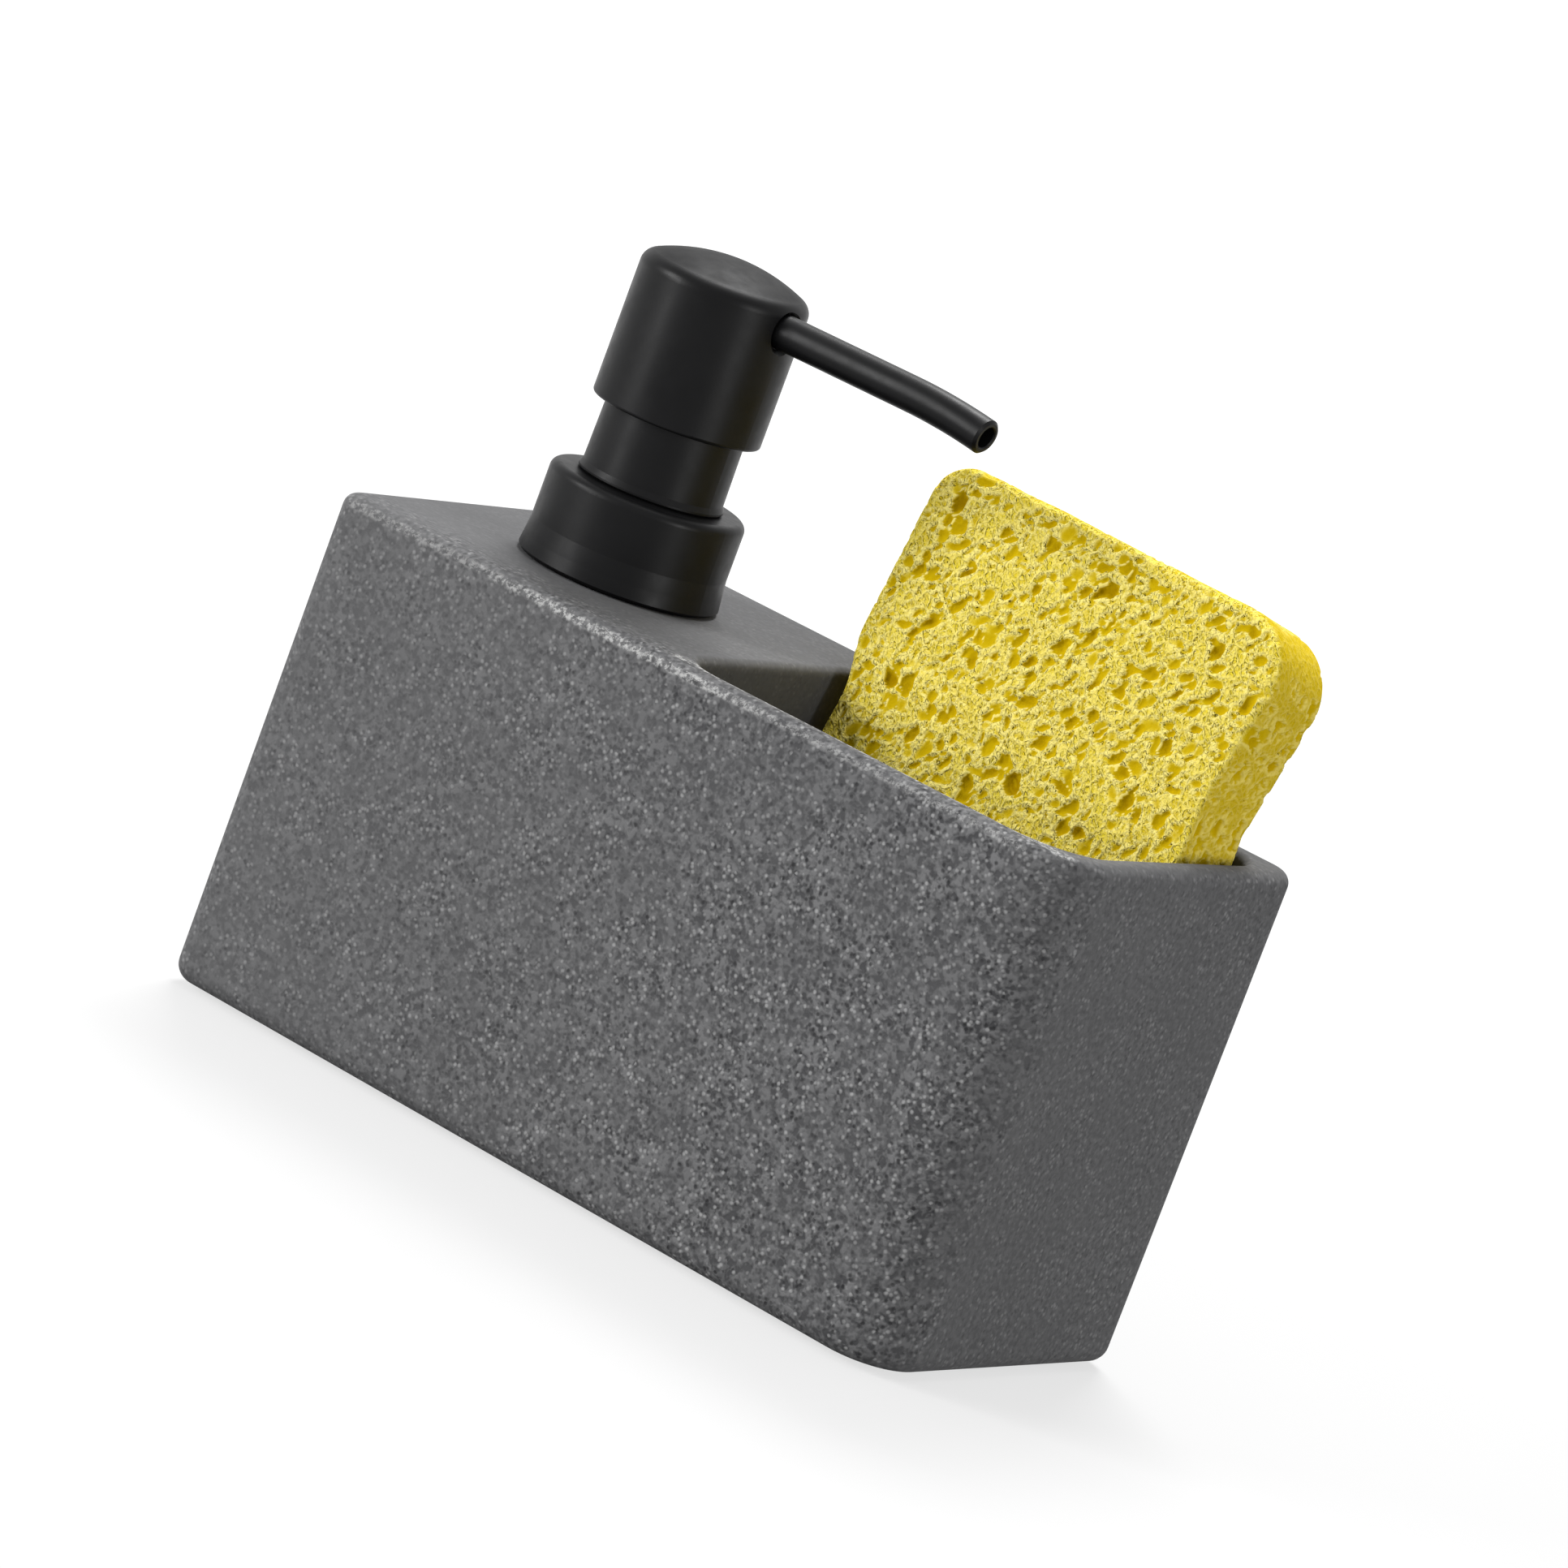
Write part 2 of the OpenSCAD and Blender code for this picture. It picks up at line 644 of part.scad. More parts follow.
module pump_stem() {
    color([0.88, 0.88, 0.86]) translate([pump_x, pump_y, 0]) difference() {
        union() {
            translate([0, 0, stem_bottom]) cylinder(h = stem_top - stem_bottom, r = stem_r);
            translate([0, 0, stem_bottom]) cylinder(h = tail_l, r = stem_r + tail_swell);
            translate([0, 0, stop_top - stop_t]) cylinder(h = stop_t, r = stem_r + stop_rim);
        }
        translate([0, 0, stem_bottom - over])
            cylinder(h = stem_top - stem_bottom + 2 * over, r = stem_bore_r);
        translate([0, 0, stem_bottom - over])
            cylinder(h = rod_plug_l + push_gap + over, r = rod_r + push_gap);
    }
}

// Half profile of the head, drawn in from its outside by the inset
module head_profile(inset) {
    side_r = head_r - inset;
    round_r = head_round - inset;
    top_r = head_dome_r - inset;
    meet = (head_r - head_round) * top_r / (head_dome_r - head_round);
    square([side_r, shoulder_z]);
    intersection() {
        translate([head_r - head_round, shoulder_z]) circle(round_r);
        translate([0, shoulder_z]) square([head_r, head_round]);
    }
    intersection() {
        translate([0, dome_z]) circle(top_r);
        translate([0, shoulder_z]) square([meet, head_dome_r]);
    }
}

// A round hole along +X from the pump's axis, at the height of the spout
module spout_hole(from, to, r) {
    translate([from, 0, spout_z]) rotate([0, 90, 0]) cylinder(h = to - from, r = r);
}

module head_shell() {
    hole_r = spout_r + spout_hole_gap;
    color([0.12, 0.12, 0.12]) translate([pump_x, pump_y, 0]) difference() {
        rotate_extrude() difference() {
            union() {
                intersection() {
                    head_profile(0);
                    translate([0, head_z + head_edge_r]) square([head_r, head_dome_r]);
                }
                translate([0, head_z]) square([head_r - head_edge_r, 2 * head_edge_r]);
                translate([head_r - head_edge_r, head_z + head_edge_r]) circle(head_edge_r);
            }
            head_profile(head_t);
        }
        spout_hole(0, head_r + over, hole_r);
        translate([head_r - 2 * spout_dish, 0, spout_z]) rotate([0, 90, 0])
            cylinder(h = 2 * spout_dish + over, r1 = hole_r - spout_dish, r2 = hole_r + spout_dish + over);
    }
}

module head_core() {
    color([0.10, 0.10, 0.10]) translate([pump_x, pump_y, 0]) difference() {
        union() {
            rotate_extrude() intersection() {
                head_profile(head_t + push_gap);
                translate([0, core_z]) square([head_r, core_top - core_z]);
            }
            translate([0, 0, hub_z]) cylinder(h = core_z - hub_z + over, r = stem_r + hub_wall);
        }
        translate([0, 0, hub_z - over])
            cylinder(h = stem_top + rest_gap - hub_z + over, r = stem_r + push_gap);
        translate([0, 0, hub_z]) cylinder(h = spout_z - hub_z, r = stem_bore_r);
        spout_hole(0, spout_seat + over, spout_bore_r);
        spout_hole(spout_seat, head_r + over, spout_r + push_gap);
    }
}

// The spout's course from where it is pushed in to its tip, as a round bar. A core joins its halves.
module spout_bar(start, r) {
    translate([start, 0, 0]) rotate([0, 90, 0]) cylinder(h = spout_straight - start, r = r);
    translate([spout_straight - over, 0, 0]) rotate([0, 90, 0])
        cylinder(h = 2 * over, r = r - push_gap);
    translate([spout_straight, 0, -spout_bend_r]) rotate([90, 0, 0]) rotate([0, 0, 90 - spout_bend])
        rotate_extrude(angle = spout_bend) translate([spout_bend_r, 0]) circle(r);
}

// The children, whose z points out of the spout's tip from the middle of its end
module at_spout_tip() {
    translate([spout_straight, 0, -spout_bend_r]) rotate([0, spout_bend, 0])
        translate([0, 0, spout_bend_r]) rotate([0, 90, 0]) children();
}

module spout_tube() {
    start = spout_seat + push_gap;
    color([0.12, 0.12, 0.12]) translate([pump_x, pump_y, spout_z]) difference() {
        spout_bar(start, spout_r);
        spout_bar(start - over, spout_bore_r);
        at_spout_tip() translate([0, 0, -spout_bore_r])
            cylinder(h = spout_bore_r + over, r1 = spout_bevel, r2 = spout_bore_r + spout_bevel + over);
        at_spout_tip() rotate_extrude()
            polygon([[spout_r - 2 * spout_edge, spout_edge], [spout_r + 2 * spout_edge, -3 * spout_edge],
                     [spout_r + 2 * spout_edge, spout_edge]]);
    }
}

module sponge() {
    radii = [sponge_r, sponge_right_r, sponge_r, sponge_r];
    color([0.93, 0.86, 0.40]) translate([sponge_x, sponge_y, sponge_foot_z])
        rotate([0, 0, sponge_turn]) rotate([-sponge_lean, 0, 0])
            translate([0, sponge_t, sponge_h / 2]) rotate([90, 0, 0])
                linear_extrude(sponge_t) outline(sponge_w, sponge_h, radii);
}

caddy_body();
base_pad();
neck_insert();
collar_shell();
collar_nut();
guide_sleeve();
sealing_washer();
pump_housing();
housing_cap();
dip_tube();
inlet_ball();
ball_cage();
return_spring();
piston_rod();
piston();
pump_stem();
head_shell();
head_core();
spout_tube();
sponge();
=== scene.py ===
"""Soap pump caddy: finishes, sponge, studio and camera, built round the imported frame."""

import logging
import math
from dataclasses import dataclass, field
from enum import Enum

import bpy
import numpy as np
from mathutils import Matrix, Vector


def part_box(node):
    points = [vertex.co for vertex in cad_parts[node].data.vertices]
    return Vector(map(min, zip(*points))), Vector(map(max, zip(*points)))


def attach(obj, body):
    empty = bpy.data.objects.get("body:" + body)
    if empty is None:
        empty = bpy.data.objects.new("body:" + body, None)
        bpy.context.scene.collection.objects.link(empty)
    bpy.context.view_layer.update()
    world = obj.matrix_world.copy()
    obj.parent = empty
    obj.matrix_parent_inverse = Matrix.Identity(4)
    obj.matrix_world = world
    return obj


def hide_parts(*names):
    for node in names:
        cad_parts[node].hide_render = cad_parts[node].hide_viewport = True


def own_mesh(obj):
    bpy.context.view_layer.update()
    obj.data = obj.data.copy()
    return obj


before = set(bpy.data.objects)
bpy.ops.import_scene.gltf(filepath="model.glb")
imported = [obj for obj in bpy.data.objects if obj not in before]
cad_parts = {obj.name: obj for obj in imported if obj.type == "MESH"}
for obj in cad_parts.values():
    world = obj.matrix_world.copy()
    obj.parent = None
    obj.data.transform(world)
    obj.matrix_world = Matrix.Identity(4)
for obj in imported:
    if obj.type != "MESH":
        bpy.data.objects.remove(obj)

log = logging.getLogger("soap_pump_caddy")

MM = 0.001
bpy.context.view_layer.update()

Array = np.ndarray
Socket = bpy.types.NodeSocket
Colour = tuple[float, float, float]
Point = tuple[float, float, float]


def linear(level: float) -> float:
    """The light of one colour channel that is written as a level from 0 to 255.

    Args:
        level: The channel as it is written on a screen.

    Returns:
        The channel's share of light, by the standard screen curve.
    """
    share = level / 255
    return share / 12.92 if share <= 0.04045 else ((share + 0.055) / 1.055) ** 2.4


def tone(red: float, green: float, blue: float) -> Colour:
    """A colour in light from its three screen levels."""
    return linear(red), linear(green), linear(blue)


class Step(Enum):
    """An arithmetic step on levels."""

    PLUS = "ADD"
    LESS = "SUBTRACT"
    TIMES = "MULTIPLY"
    LARGER = "MAXIMUM"
    FRACTION = "FRACT"
    SIZE = "ABSOLUTE"


class Move(Enum):
    """An arithmetic step on places or colours. The last two give a single level."""

    PLUS = "ADD"
    LESS = "SUBTRACT"
    SCALED = "SCALE"
    LENGTH = "LENGTH"
    DOT = "DOT_PRODUCT"


class Tree:
    """One material's nodes, with a call for each kind that the finishes share."""

    def __init__(self, name: str) -> None:
        """Starts a material with a plain shader that reads Object coordinates.

        Args:
            name: The material's name.
        """
        self.material = bpy.data.materials.new(name)
        self.material.use_nodes = True
        self.nodes = self.material.node_tree.nodes
        self.links = self.material.node_tree.links
        self.nodes.clear()
        output = self.nodes.new("ShaderNodeOutputMaterial")
        self.shader = self.nodes.new("ShaderNodeBsdfPrincipled")
        self.links.new(self.shader.outputs["BSDF"], output.inputs["Surface"])
        self.place = self.nodes.new("ShaderNodeTexCoord").outputs["Object"]

    def set(self, **values: float | Colour) -> None:
        """Writes constants on the shader's own sockets.

        Args:
            values: A level or colour for each socket, which is named with _ for a space.
        """
        for name, value in values.items():
            socket = self.shader.inputs[name.replace("_", " ")]
            socket.default_value = (*value, 1.0) if socket.type == "RGBA" else value

    def feed(self, name: str, source: Socket) -> None:
        """Links a pattern to one of the shader's sockets."""
        self.links.new(source, self.shader.inputs[name])

    def noise(self, size: float, detail: float = 3.0, rough: float = 0.55, stretch: Point = (1, 1, 1),
              bend: float = 0.0) -> Socket:
        """Smooth noise.

        Args:
            size: Width of its broadest swells, in metres.
            detail: How many finer layers it has.
            rough: How strong the finer layers are.
            stretch: How much finer it is along each axis.
            bend: How far it is bent by itself.

        Returns:
            Its level, from 0 to 1.
        """
        node = self.nodes.new("ShaderNodeTexNoise")
        node.inputs["Scale"].default_value = 1 / size
        node.inputs["Detail"].default_value = detail
        node.inputs["Roughness"].default_value = rough
        node.inputs["Distortion"].default_value = bend
        self.links.new(self.stretched(stretch), node.inputs["Vector"])
        return node.outputs["Fac"]

    def stretched(self, stretch: Point, shift: Point = (0, 0, 0)) -> Socket:
        """The Object coordinates, scaled and then shifted.

        Args:
            stretch: The scale along each axis.
            shift: How far they are shifted along each axis.

        Returns:
            The place that a pattern reads.
        """
        if stretch == (1, 1, 1) and shift == (0, 0, 0):
            return self.place
        node = self.nodes.new("ShaderNodeMapping")
        node.inputs["Scale"].default_value = stretch
        node.inputs["Location"].default_value = shift
        self.links.new(self.place, node.inputs["Vector"])
        return node.outputs["Vector"]

    def cells(self, size: float, shift: Point = (0, 0, 0)) -> tuple[Socket, Socket]:
        """Cells round scattered points.

        Args:
            size: Mean width of a cell, in metres.
            shift: Where the pattern is moved to, so that two of them differ.

        Returns:
            The distance from each cell's point in cell widths, and a random colour for each cell.
        """
        node = self.nodes.new("ShaderNodeTexVoronoi")
        node.inputs["Scale"].default_value = 1 / size
        self.links.new(self.stretched((1, 1, 1), shift), node.inputs["Vector"])
        return node.outputs["Distance"], node.outputs["Color"]

    def webs(self, size: float, turn: float, slim: float, bend: float) -> Socket:
        """A net of thin walls between long cells, which lean in the plane of X and Z.

        Args:
            size: Mean width of a cell, in metres.
            turn: How far the cells' long axis leans from upright, in radians.
            slim: How many times longer than wide a cell is.
            bend: How far the net is bent by noise, in metres.

        Returns:
            The distance from the nearest wall, in cell widths.
        """
        wander = self.nodes.new("ShaderNodeTexNoise")
        wander.inputs["Scale"].default_value = 0.6 / size
        self.links.new(self.place, wander.inputs["Vector"])
        centred = self.vector(Move.LESS, wander.outputs["Color"], (0.5, 0.5, 0.5))
        bent = self.vector(Move.PLUS, self.vector(Move.SCALED, centred, bend), self.place)
        node = self.nodes.new("ShaderNodeMapping")
        node.inputs["Rotation"].default_value = (0, turn, 0)
        self.links.new(bent, node.inputs["Vector"])
        longer = self.nodes.new("ShaderNodeMapping")
        longer.inputs["Scale"].default_value = (1, 1, 1 / slim)
        self.links.new(node.outputs["Vector"], longer.inputs["Vector"])
        cells = self.nodes.new("ShaderNodeTexVoronoi")
        cells.feature = "DISTANCE_TO_EDGE"
        cells.inputs["Scale"].default_value = 1 / size
        self.links.new(longer.outputs["Vector"], cells.inputs["Vector"])
        return cells.outputs["Distance"]

    def vector(self, move: Move, first: Socket, second: Socket | Point | float | None = None) -> Socket:
        """One step on a place or colour.

        Args:
            move: Which step.
            first: The place or colour.
            second: What it is taken with, if anything.

        Returns:
            The new place or colour, or the level for a length or a dot product.
        """
        node = self.nodes.new("ShaderNodeVectorMath")
        node.operation = move.value
        self.links.new(first, node.inputs[0])
        if move is Move.SCALED:
            node.inputs["Scale"].default_value = second
        elif isinstance(second, tuple):
            node.inputs[1].default_value = second
        elif second is not None:
            self.links.new(second, node.inputs[1])
        return node.outputs["Value" if move in (Move.LENGTH, Move.DOT) else "Vector"]

    def axes(self) -> tuple[Socket, Socket, Socket]:
        """The Object coordinates one by one.

        Returns:
            The levels of x, y and z, in metres.
        """
        node = self.nodes.new("ShaderNodeSeparateXYZ")
        self.links.new(self.place, node.inputs["Vector"])
        return node.outputs["X"], node.outputs["Y"], node.outputs["Z"]

    def ramp(self, source: Socket, low: float, high: float, to_low: float = 0.0,
             to_high: float = 1.0) -> Socket:
        """A smooth step from one level to another.

        Args:
            source: The level that is read.
            low: The source's level at which the step starts, which may be the greater one.
            high: The source's level at which it ends.
            to_low: The result at the start.
            to_high: The result at the end.

        Returns:
            The stepped level.
        """
        node = self.nodes.new("ShaderNodeMapRange")
        node.interpolation_type = "SMOOTHSTEP"
        for name, value in zip(("From Min", "From Max", "To Min", "To Max"),
                               (low, high, to_low, to_high)):
            node.inputs[name].default_value = value
        self.links.new(source, node.inputs["Value"])
        return node.outputs["Result"]

    def times(self, first: Socket, *others: Socket | float) -> Socket:
        """The product of several levels.

        Args:
            first: The first level.
            others: What it is multiplied by.

        Returns:
            The product.
        """
        for other in others:
            first = self.take(Step.TIMES, first, other)
        return first

    def take(self, step: Step, first: Socket, second: Socket | float = 0.0) -> Socket:
        """One arithmetic step on a level, or on two.

        Args:
            step: Which step.
            first: The level.
            second: What it is taken with, which a fraction or a size leaves out.

        Returns:
            The new level.
        """
        node = self.nodes.new("ShaderNodeMath")
        node.operation = step.value
        self.links.new(first, node.inputs[0])
        if isinstance(second, (int, float)):
            node.inputs[1].default_value = second
        else:
            self.links.new(second, node.inputs[1])
        return node.outputs["Value"]

    def mix(self, share: Socket, base: Socket | Colour, top: Socket | Colour) -> Socket:
        """Lays the top colour over the base colour by a share that varies over the surface.

        Args:
            share: How much of the top shows, from 0 to 1.
            base: The colour underneath.
            top: The colour laid over it.

        Returns:
            The mixed colour.
        """
        node = self.nodes.new("ShaderNodeMix")
        node.data_type = "RGBA"
        self.links.new(share, node.inputs[0])
        for index, colour in ((6, base), (7, top)):
            if isinstance(colour, tuple):
                node.inputs[index].default_value = (*colour, 1.0)
            else:
                self.links.new(colour, node.inputs[index])
        return node.outputs[2]

    def level(self, name: str) -> Socket:
        """A level that the piece's own mesh carries on its points.

        Args:
            name: The mesh attribute's name.

        Returns:
            The level.
        """
        node = self.nodes.new("ShaderNodeAttribute")
        node.attribute_name = name
        return node.outputs["Fac"]

    def bump(self, height: Socket, depth: float, below: Socket | None = None) -> Socket:
        """Relief, laid over another relief if one is given.

        Args:
            height: The pattern of the relief, from 0 to 1.
            depth: Its depth, in metres.
            below: The relief under it.

        Returns:
            The bent surface direction.
        """
        node = self.nodes.new("ShaderNodeBump")
        node.inputs["Distance"].default_value = depth
        self.links.new(height, node.inputs["Height"])
        if below is not None:
            self.links.new(below, node.inputs["Normal"])
        return node.outputs["Normal"]


@dataclass(frozen=True)
class StoneFinish:
    """Cast stone: sandy grey with fine light and dark grains, a rough front, top edges with wear and a
    painted highlight, and a painted shade in the pocket.

    Places are those of the block's faces, so that the front can be rougher than the moulded sides. A
    share says how strongly a colour covers, and few is the random level above which a cell has a grain.
    """

    name: str = "cast_stone"
    base: Colour = tone(90, 90, 91)
    shade: Colour = tone(54, 54, 56)
    pale: Colour = tone(128, 128, 129)
    light: Colour = tone(190, 190, 190)
    dark: Colour = tone(30, 30, 32)
    # Pale colour of the worn top edges, which also paints their highlight.
    wear_and_highlight: Colour = tone(176, 176, 175)
    grain: float = 0.86 * MM
    sand: float = 1.05 * MM
    crumb: float = 1.0 * MM
    area: float = 7 * MM
    patch: float = 14 * MM
    swell: float = 18 * MM
    light_few: float = 0.58
    dark_few: float = 0.60
    light_share: float = 0.40
    dark_share: float = 0.62
    dip_share: float = 0.60
    hill_share: float = 0.42
    patch_share: float = 0.07
    # How strongly the painted shade darkens the pocket.
    pocket_shade_share: float = 0.5
    swell_depth: float = 0.4 * MM
    sand_depth: float = 0.22 * MM
    grain_depth: float = 0.08 * MM
    roughness: float = 0.85
    shine: float = 0.2
    front: float = -33.25 * MM
    right: float = 73.5 * MM
    top: float = 83.2 * MM
    edge: float = 2.2 * MM
    lip: float = 1.3 * MM
    wall: float = 4.4 * MM
    pocket_left: float = -5.9 * MM
    hash: Point = (37.7, 51.3, 43.9)

    def grains(self, tree: Tree, size: float, shift: Point, few: float) -> Socket:
        """Round grains in a random choice of cells.

        A cell's own number is the fraction part of its colour's dot product with three large numbers.

        Args:
            tree: The material's nodes.
            size: Width of a cell.
            shift: Where the pattern is moved to.
            few: The random level above which a cell holds a grain.

        Returns:
            The share of grain at each place.
        """
        distance, colour = tree.cells(size, shift)
        dice = tree.take(Step.FRACTION, tree.vector(Move.DOT, colour, self.hash))
        picked = tree.ramp(dice, few, few + 0.10)
        return tree.times(tree.ramp(distance, 0.55, 0.15), picked)

    def edge_wear_and_highlight(self, tree: Tree) -> Socket:
        """How much wear and painted highlight each place has: a pale band on the front's rounded top edge
        and one on the pocket's lip.

        The front's band is strongest from the pump to the pocket and faint left of the pump.

        Args:
            tree: The material's nodes.

        Returns:
            The share of wear and painted highlight.
        """
        across, depth, height = tree.axes()
        lifted = tree.take(Step.LESS, height, tree.ramp(across, -5 * MM, 15 * MM, 0.0, 0.3 * MM))
        low = tree.ramp(lifted, self.top - 1.05 * self.edge, self.top - 0.75 * self.edge)
        high = tree.ramp(depth, self.front + 0.45 * self.edge, self.front + 0.15 * self.edge)
        along = tree.ramp(across, -45 * MM, -28 * MM, 0.4, 1.0)
        fade = tree.ramp(across, 0.0, 20 * MM, 1.0, 0.55)
        band = tree.times(low, high, along, fade)
        inner = self.front + self.wall - self.lip
        near = tree.ramp(depth, inner - 0.5 * MM, inner)
        level = tree.ramp(height, self.top - 0.45 * self.lip, self.top - 0.15 * self.lip)
        before = tree.ramp(depth, inner + 2 * self.lip, inner + self.lip)
        beside = tree.ramp(across, -7.5 * MM, -6 * MM)
        return tree.take(Step.LARGER, band, tree.times(near, level, before, beside))

    def inside(self, tree: Tree) -> Socket:
        """Where the pocket's walls and floor are, which get a painted shade that darkens them.

        Args:
            tree: The material's nodes.

        Returns:
            A level that is 1 there and 0 elsewhere.
        """
        across, depth, height = tree.axes()
        soft = 0.4 * MM
        right, back = self.right - self.wall, -self.front - self.wall
        return tree.times(tree.ramp(across, self.pocket_left - soft, self.pocket_left),
                          tree.ramp(across, right + soft, right),
                          tree.ramp(depth, -back - soft, -back),
                          tree.ramp(depth, back + soft, back),
                          tree.ramp(height, self.top - 0.2 * self.lip, self.top - 1.6 * self.lip))

    def coarse(self, tree: Tree) -> Socket:
        """How rough each place is: full at the front, more to the right and in uneven areas.

        The left and right faces are rougher than the deck and the back.

        Args:
            tree: The material's nodes.

        Returns:
            The share of roughness.
        """
        across, depth, _ = tree.axes()
        return tree.times(tree.ramp(depth, self.front + 12 * MM, self.front + 1.5 * MM, 0.22, 1.0),
                          tree.ramp(across, -self.right, 0.8 * self.right, 0.52, 1.12),
                          tree.ramp(tree.take(Step.SIZE, across), self.right - 1.0 * MM,
                                    self.right - 0.2 * MM, 1.0, 1.8),
                          tree.ramp(tree.noise(self.area, detail=3), 0.38, 0.62, 0.65, 1.10))

    def build(self) -> bpy.types.Material:
        """Makes the material.

        Returns:
            The material.
        """
        tree = Tree(self.name)
        rough = self.coarse(tree)
        light = tree.times(self.grains(tree, self.grain, (0, 0, 0), self.light_few), rough)
        dark = tree.times(self.grains(tree, self.grain, (0.3, 0.7, 0.1), self.dark_few), rough)
        mottle = tree.ramp(tree.noise(self.patch, detail=4, rough=0.6), 0.3, 0.7)
        sand = tree.noise(self.sand, detail=1.5, rough=0.6, bend=0.3)
        hills = tree.times(tree.ramp(sand, 0.50, 0.62), rough)
        dips = tree.times(tree.ramp(sand, 0.50, 0.38), rough)
        colour = tree.mix(tree.times(mottle, self.patch_share), self.base, self.pale)
        colour = tree.mix(tree.times(dips, self.dip_share), colour, self.shade)
        colour = tree.mix(tree.times(hills, self.hill_share), colour, self.pale)
        colour = tree.mix(tree.times(dark, self.dark_share), colour, self.dark)
        colour = tree.mix(tree.times(light, self.light_share), colour, self.light)
        # Painted shade: the pocket's walls and floor are darkened towards the dark grain colour.
        colour = tree.mix(tree.times(self.inside(tree), self.pocket_shade_share), colour, self.dark)
        # Wear and painted highlight: a pale band on the top edges and the pocket's lip, broken into
        # patches.
        patchy = tree.ramp(tree.noise(self.crumb, detail=3, rough=0.75), 0.44, 0.62, 0.05, 1.0)
        wear_and_highlight = tree.times(self.edge_wear_and_highlight(tree), patchy)
        tree.feed("Base Color", tree.mix(wear_and_highlight, colour, self.wear_and_highlight))
        tree.set(Roughness=self.roughness, Specular_IOR_Level=self.shine)
        swell = tree.bump(tree.noise(self.swell, detail=2), self.swell_depth)
        relief = tree.bump(tree.times(sand, rough), self.sand_depth, swell)
        tree.feed("Normal", tree.bump(tree.take(Step.LESS, light, dark), self.grain_depth, relief))
        return tree.material


@dataclass(frozen=True)
class CoatFinish:
    """Satin black coat with the faint unevenness of a sprayed and baked powder.

    Above the height `pressed` it is duller, where fingers press it.
    """

    name: str
    base: Colour = tone(11, 11, 12)
    cloud: Colour = tone(15, 15, 16)
    roughness: float = 0.40
    shine: float = 0.13
    grain: float = 0.35 * MM
    relief: float = 0.005 * MM
    pressed: float = 1.0
    dulling: float = 0.16

    def build(self) -> bpy.types.Material:
        """Makes the material.

        Returns:
            The material.
        """
        tree = Tree(self.name)
        cloud = tree.noise(9 * MM, detail=3)
        tree.feed("Base Color", tree.mix(tree.ramp(cloud, 0.35, 0.7), self.base, self.cloud))
        _, _, height = tree.axes()
        dull = tree.ramp(height, self.pressed, self.pressed + 1.5 * MM)
        rough = tree.ramp(tree.noise(3 * MM, detail=4), 0.3, 0.7,
                          self.roughness - 0.03, self.roughness + 0.05)
        tree.feed("Roughness", tree.take(Step.PLUS, rough, tree.times(dull, self.dulling)))
        tree.feed("Specular IOR Level", tree.ramp(dull, 0.0, 1.0, self.shine, 0.7 * self.shine))
        tree.feed("Normal", tree.bump(tree.noise(self.grain, detail=2), self.relief))
        return tree.material


@dataclass(frozen=True)
class MouldedFinish:
    """Moulded plastic or rubber, with a faint flow pattern and a fine texture."""

    name: str
    base: Colour
    shade: Colour
    roughness: float = 0.45
    relief: float = 0.01 * MM
    milky: float = 0.0

    def build(self) -> bpy.types.Material:
        """Makes the material.

        Returns:
            The material.
        """
        tree = Tree(self.name)
        flow = tree.noise(6 * MM, detail=4, stretch=(1, 1, 0.3), bend=0.8)
        tree.feed("Base Color", tree.mix(tree.ramp(flow, 0.3, 0.75), self.base, self.shade))
        tree.feed("Roughness", tree.ramp(tree.noise(2 * MM, detail=3), 0.3, 0.7,
                                         self.roughness - 0.05, self.roughness + 0.08))
        tree.set(Subsurface_Weight=self.milky, Subsurface_Radius=(1.0, 1.0, 0.9),
                 Subsurface_Scale=1.5 * MM)
        tree.feed("Normal", tree.bump(tree.noise(0.4 * MM, detail=2), self.relief))
        return tree.material


@dataclass(frozen=True)
class SteelFinish:
    """Drawn spring steel, with fine lines along the wire's length."""

    name: str = "drawn_steel"
    base: Colour = tone(196, 197, 200)
    shade: Colour = tone(150, 150, 152)

    def build(self) -> bpy.types.Material:
        """Makes the material.

        Returns:
            The material.
        """
        tree = Tree(self.name)
        lines = tree.noise(0.25 * MM, detail=3, stretch=(1, 1, 4))
        tree.feed("Base Color", tree.mix(tree.ramp(lines, 0.35, 0.7), self.base, self.shade))
        tree.feed("Roughness", tree.ramp(lines, 0.3, 0.7, 0.22, 0.38))
        tree.set(Metallic=1.0)
        tree.feed("Normal", tree.bump(lines, 0.004 * MM))
        return tree.material


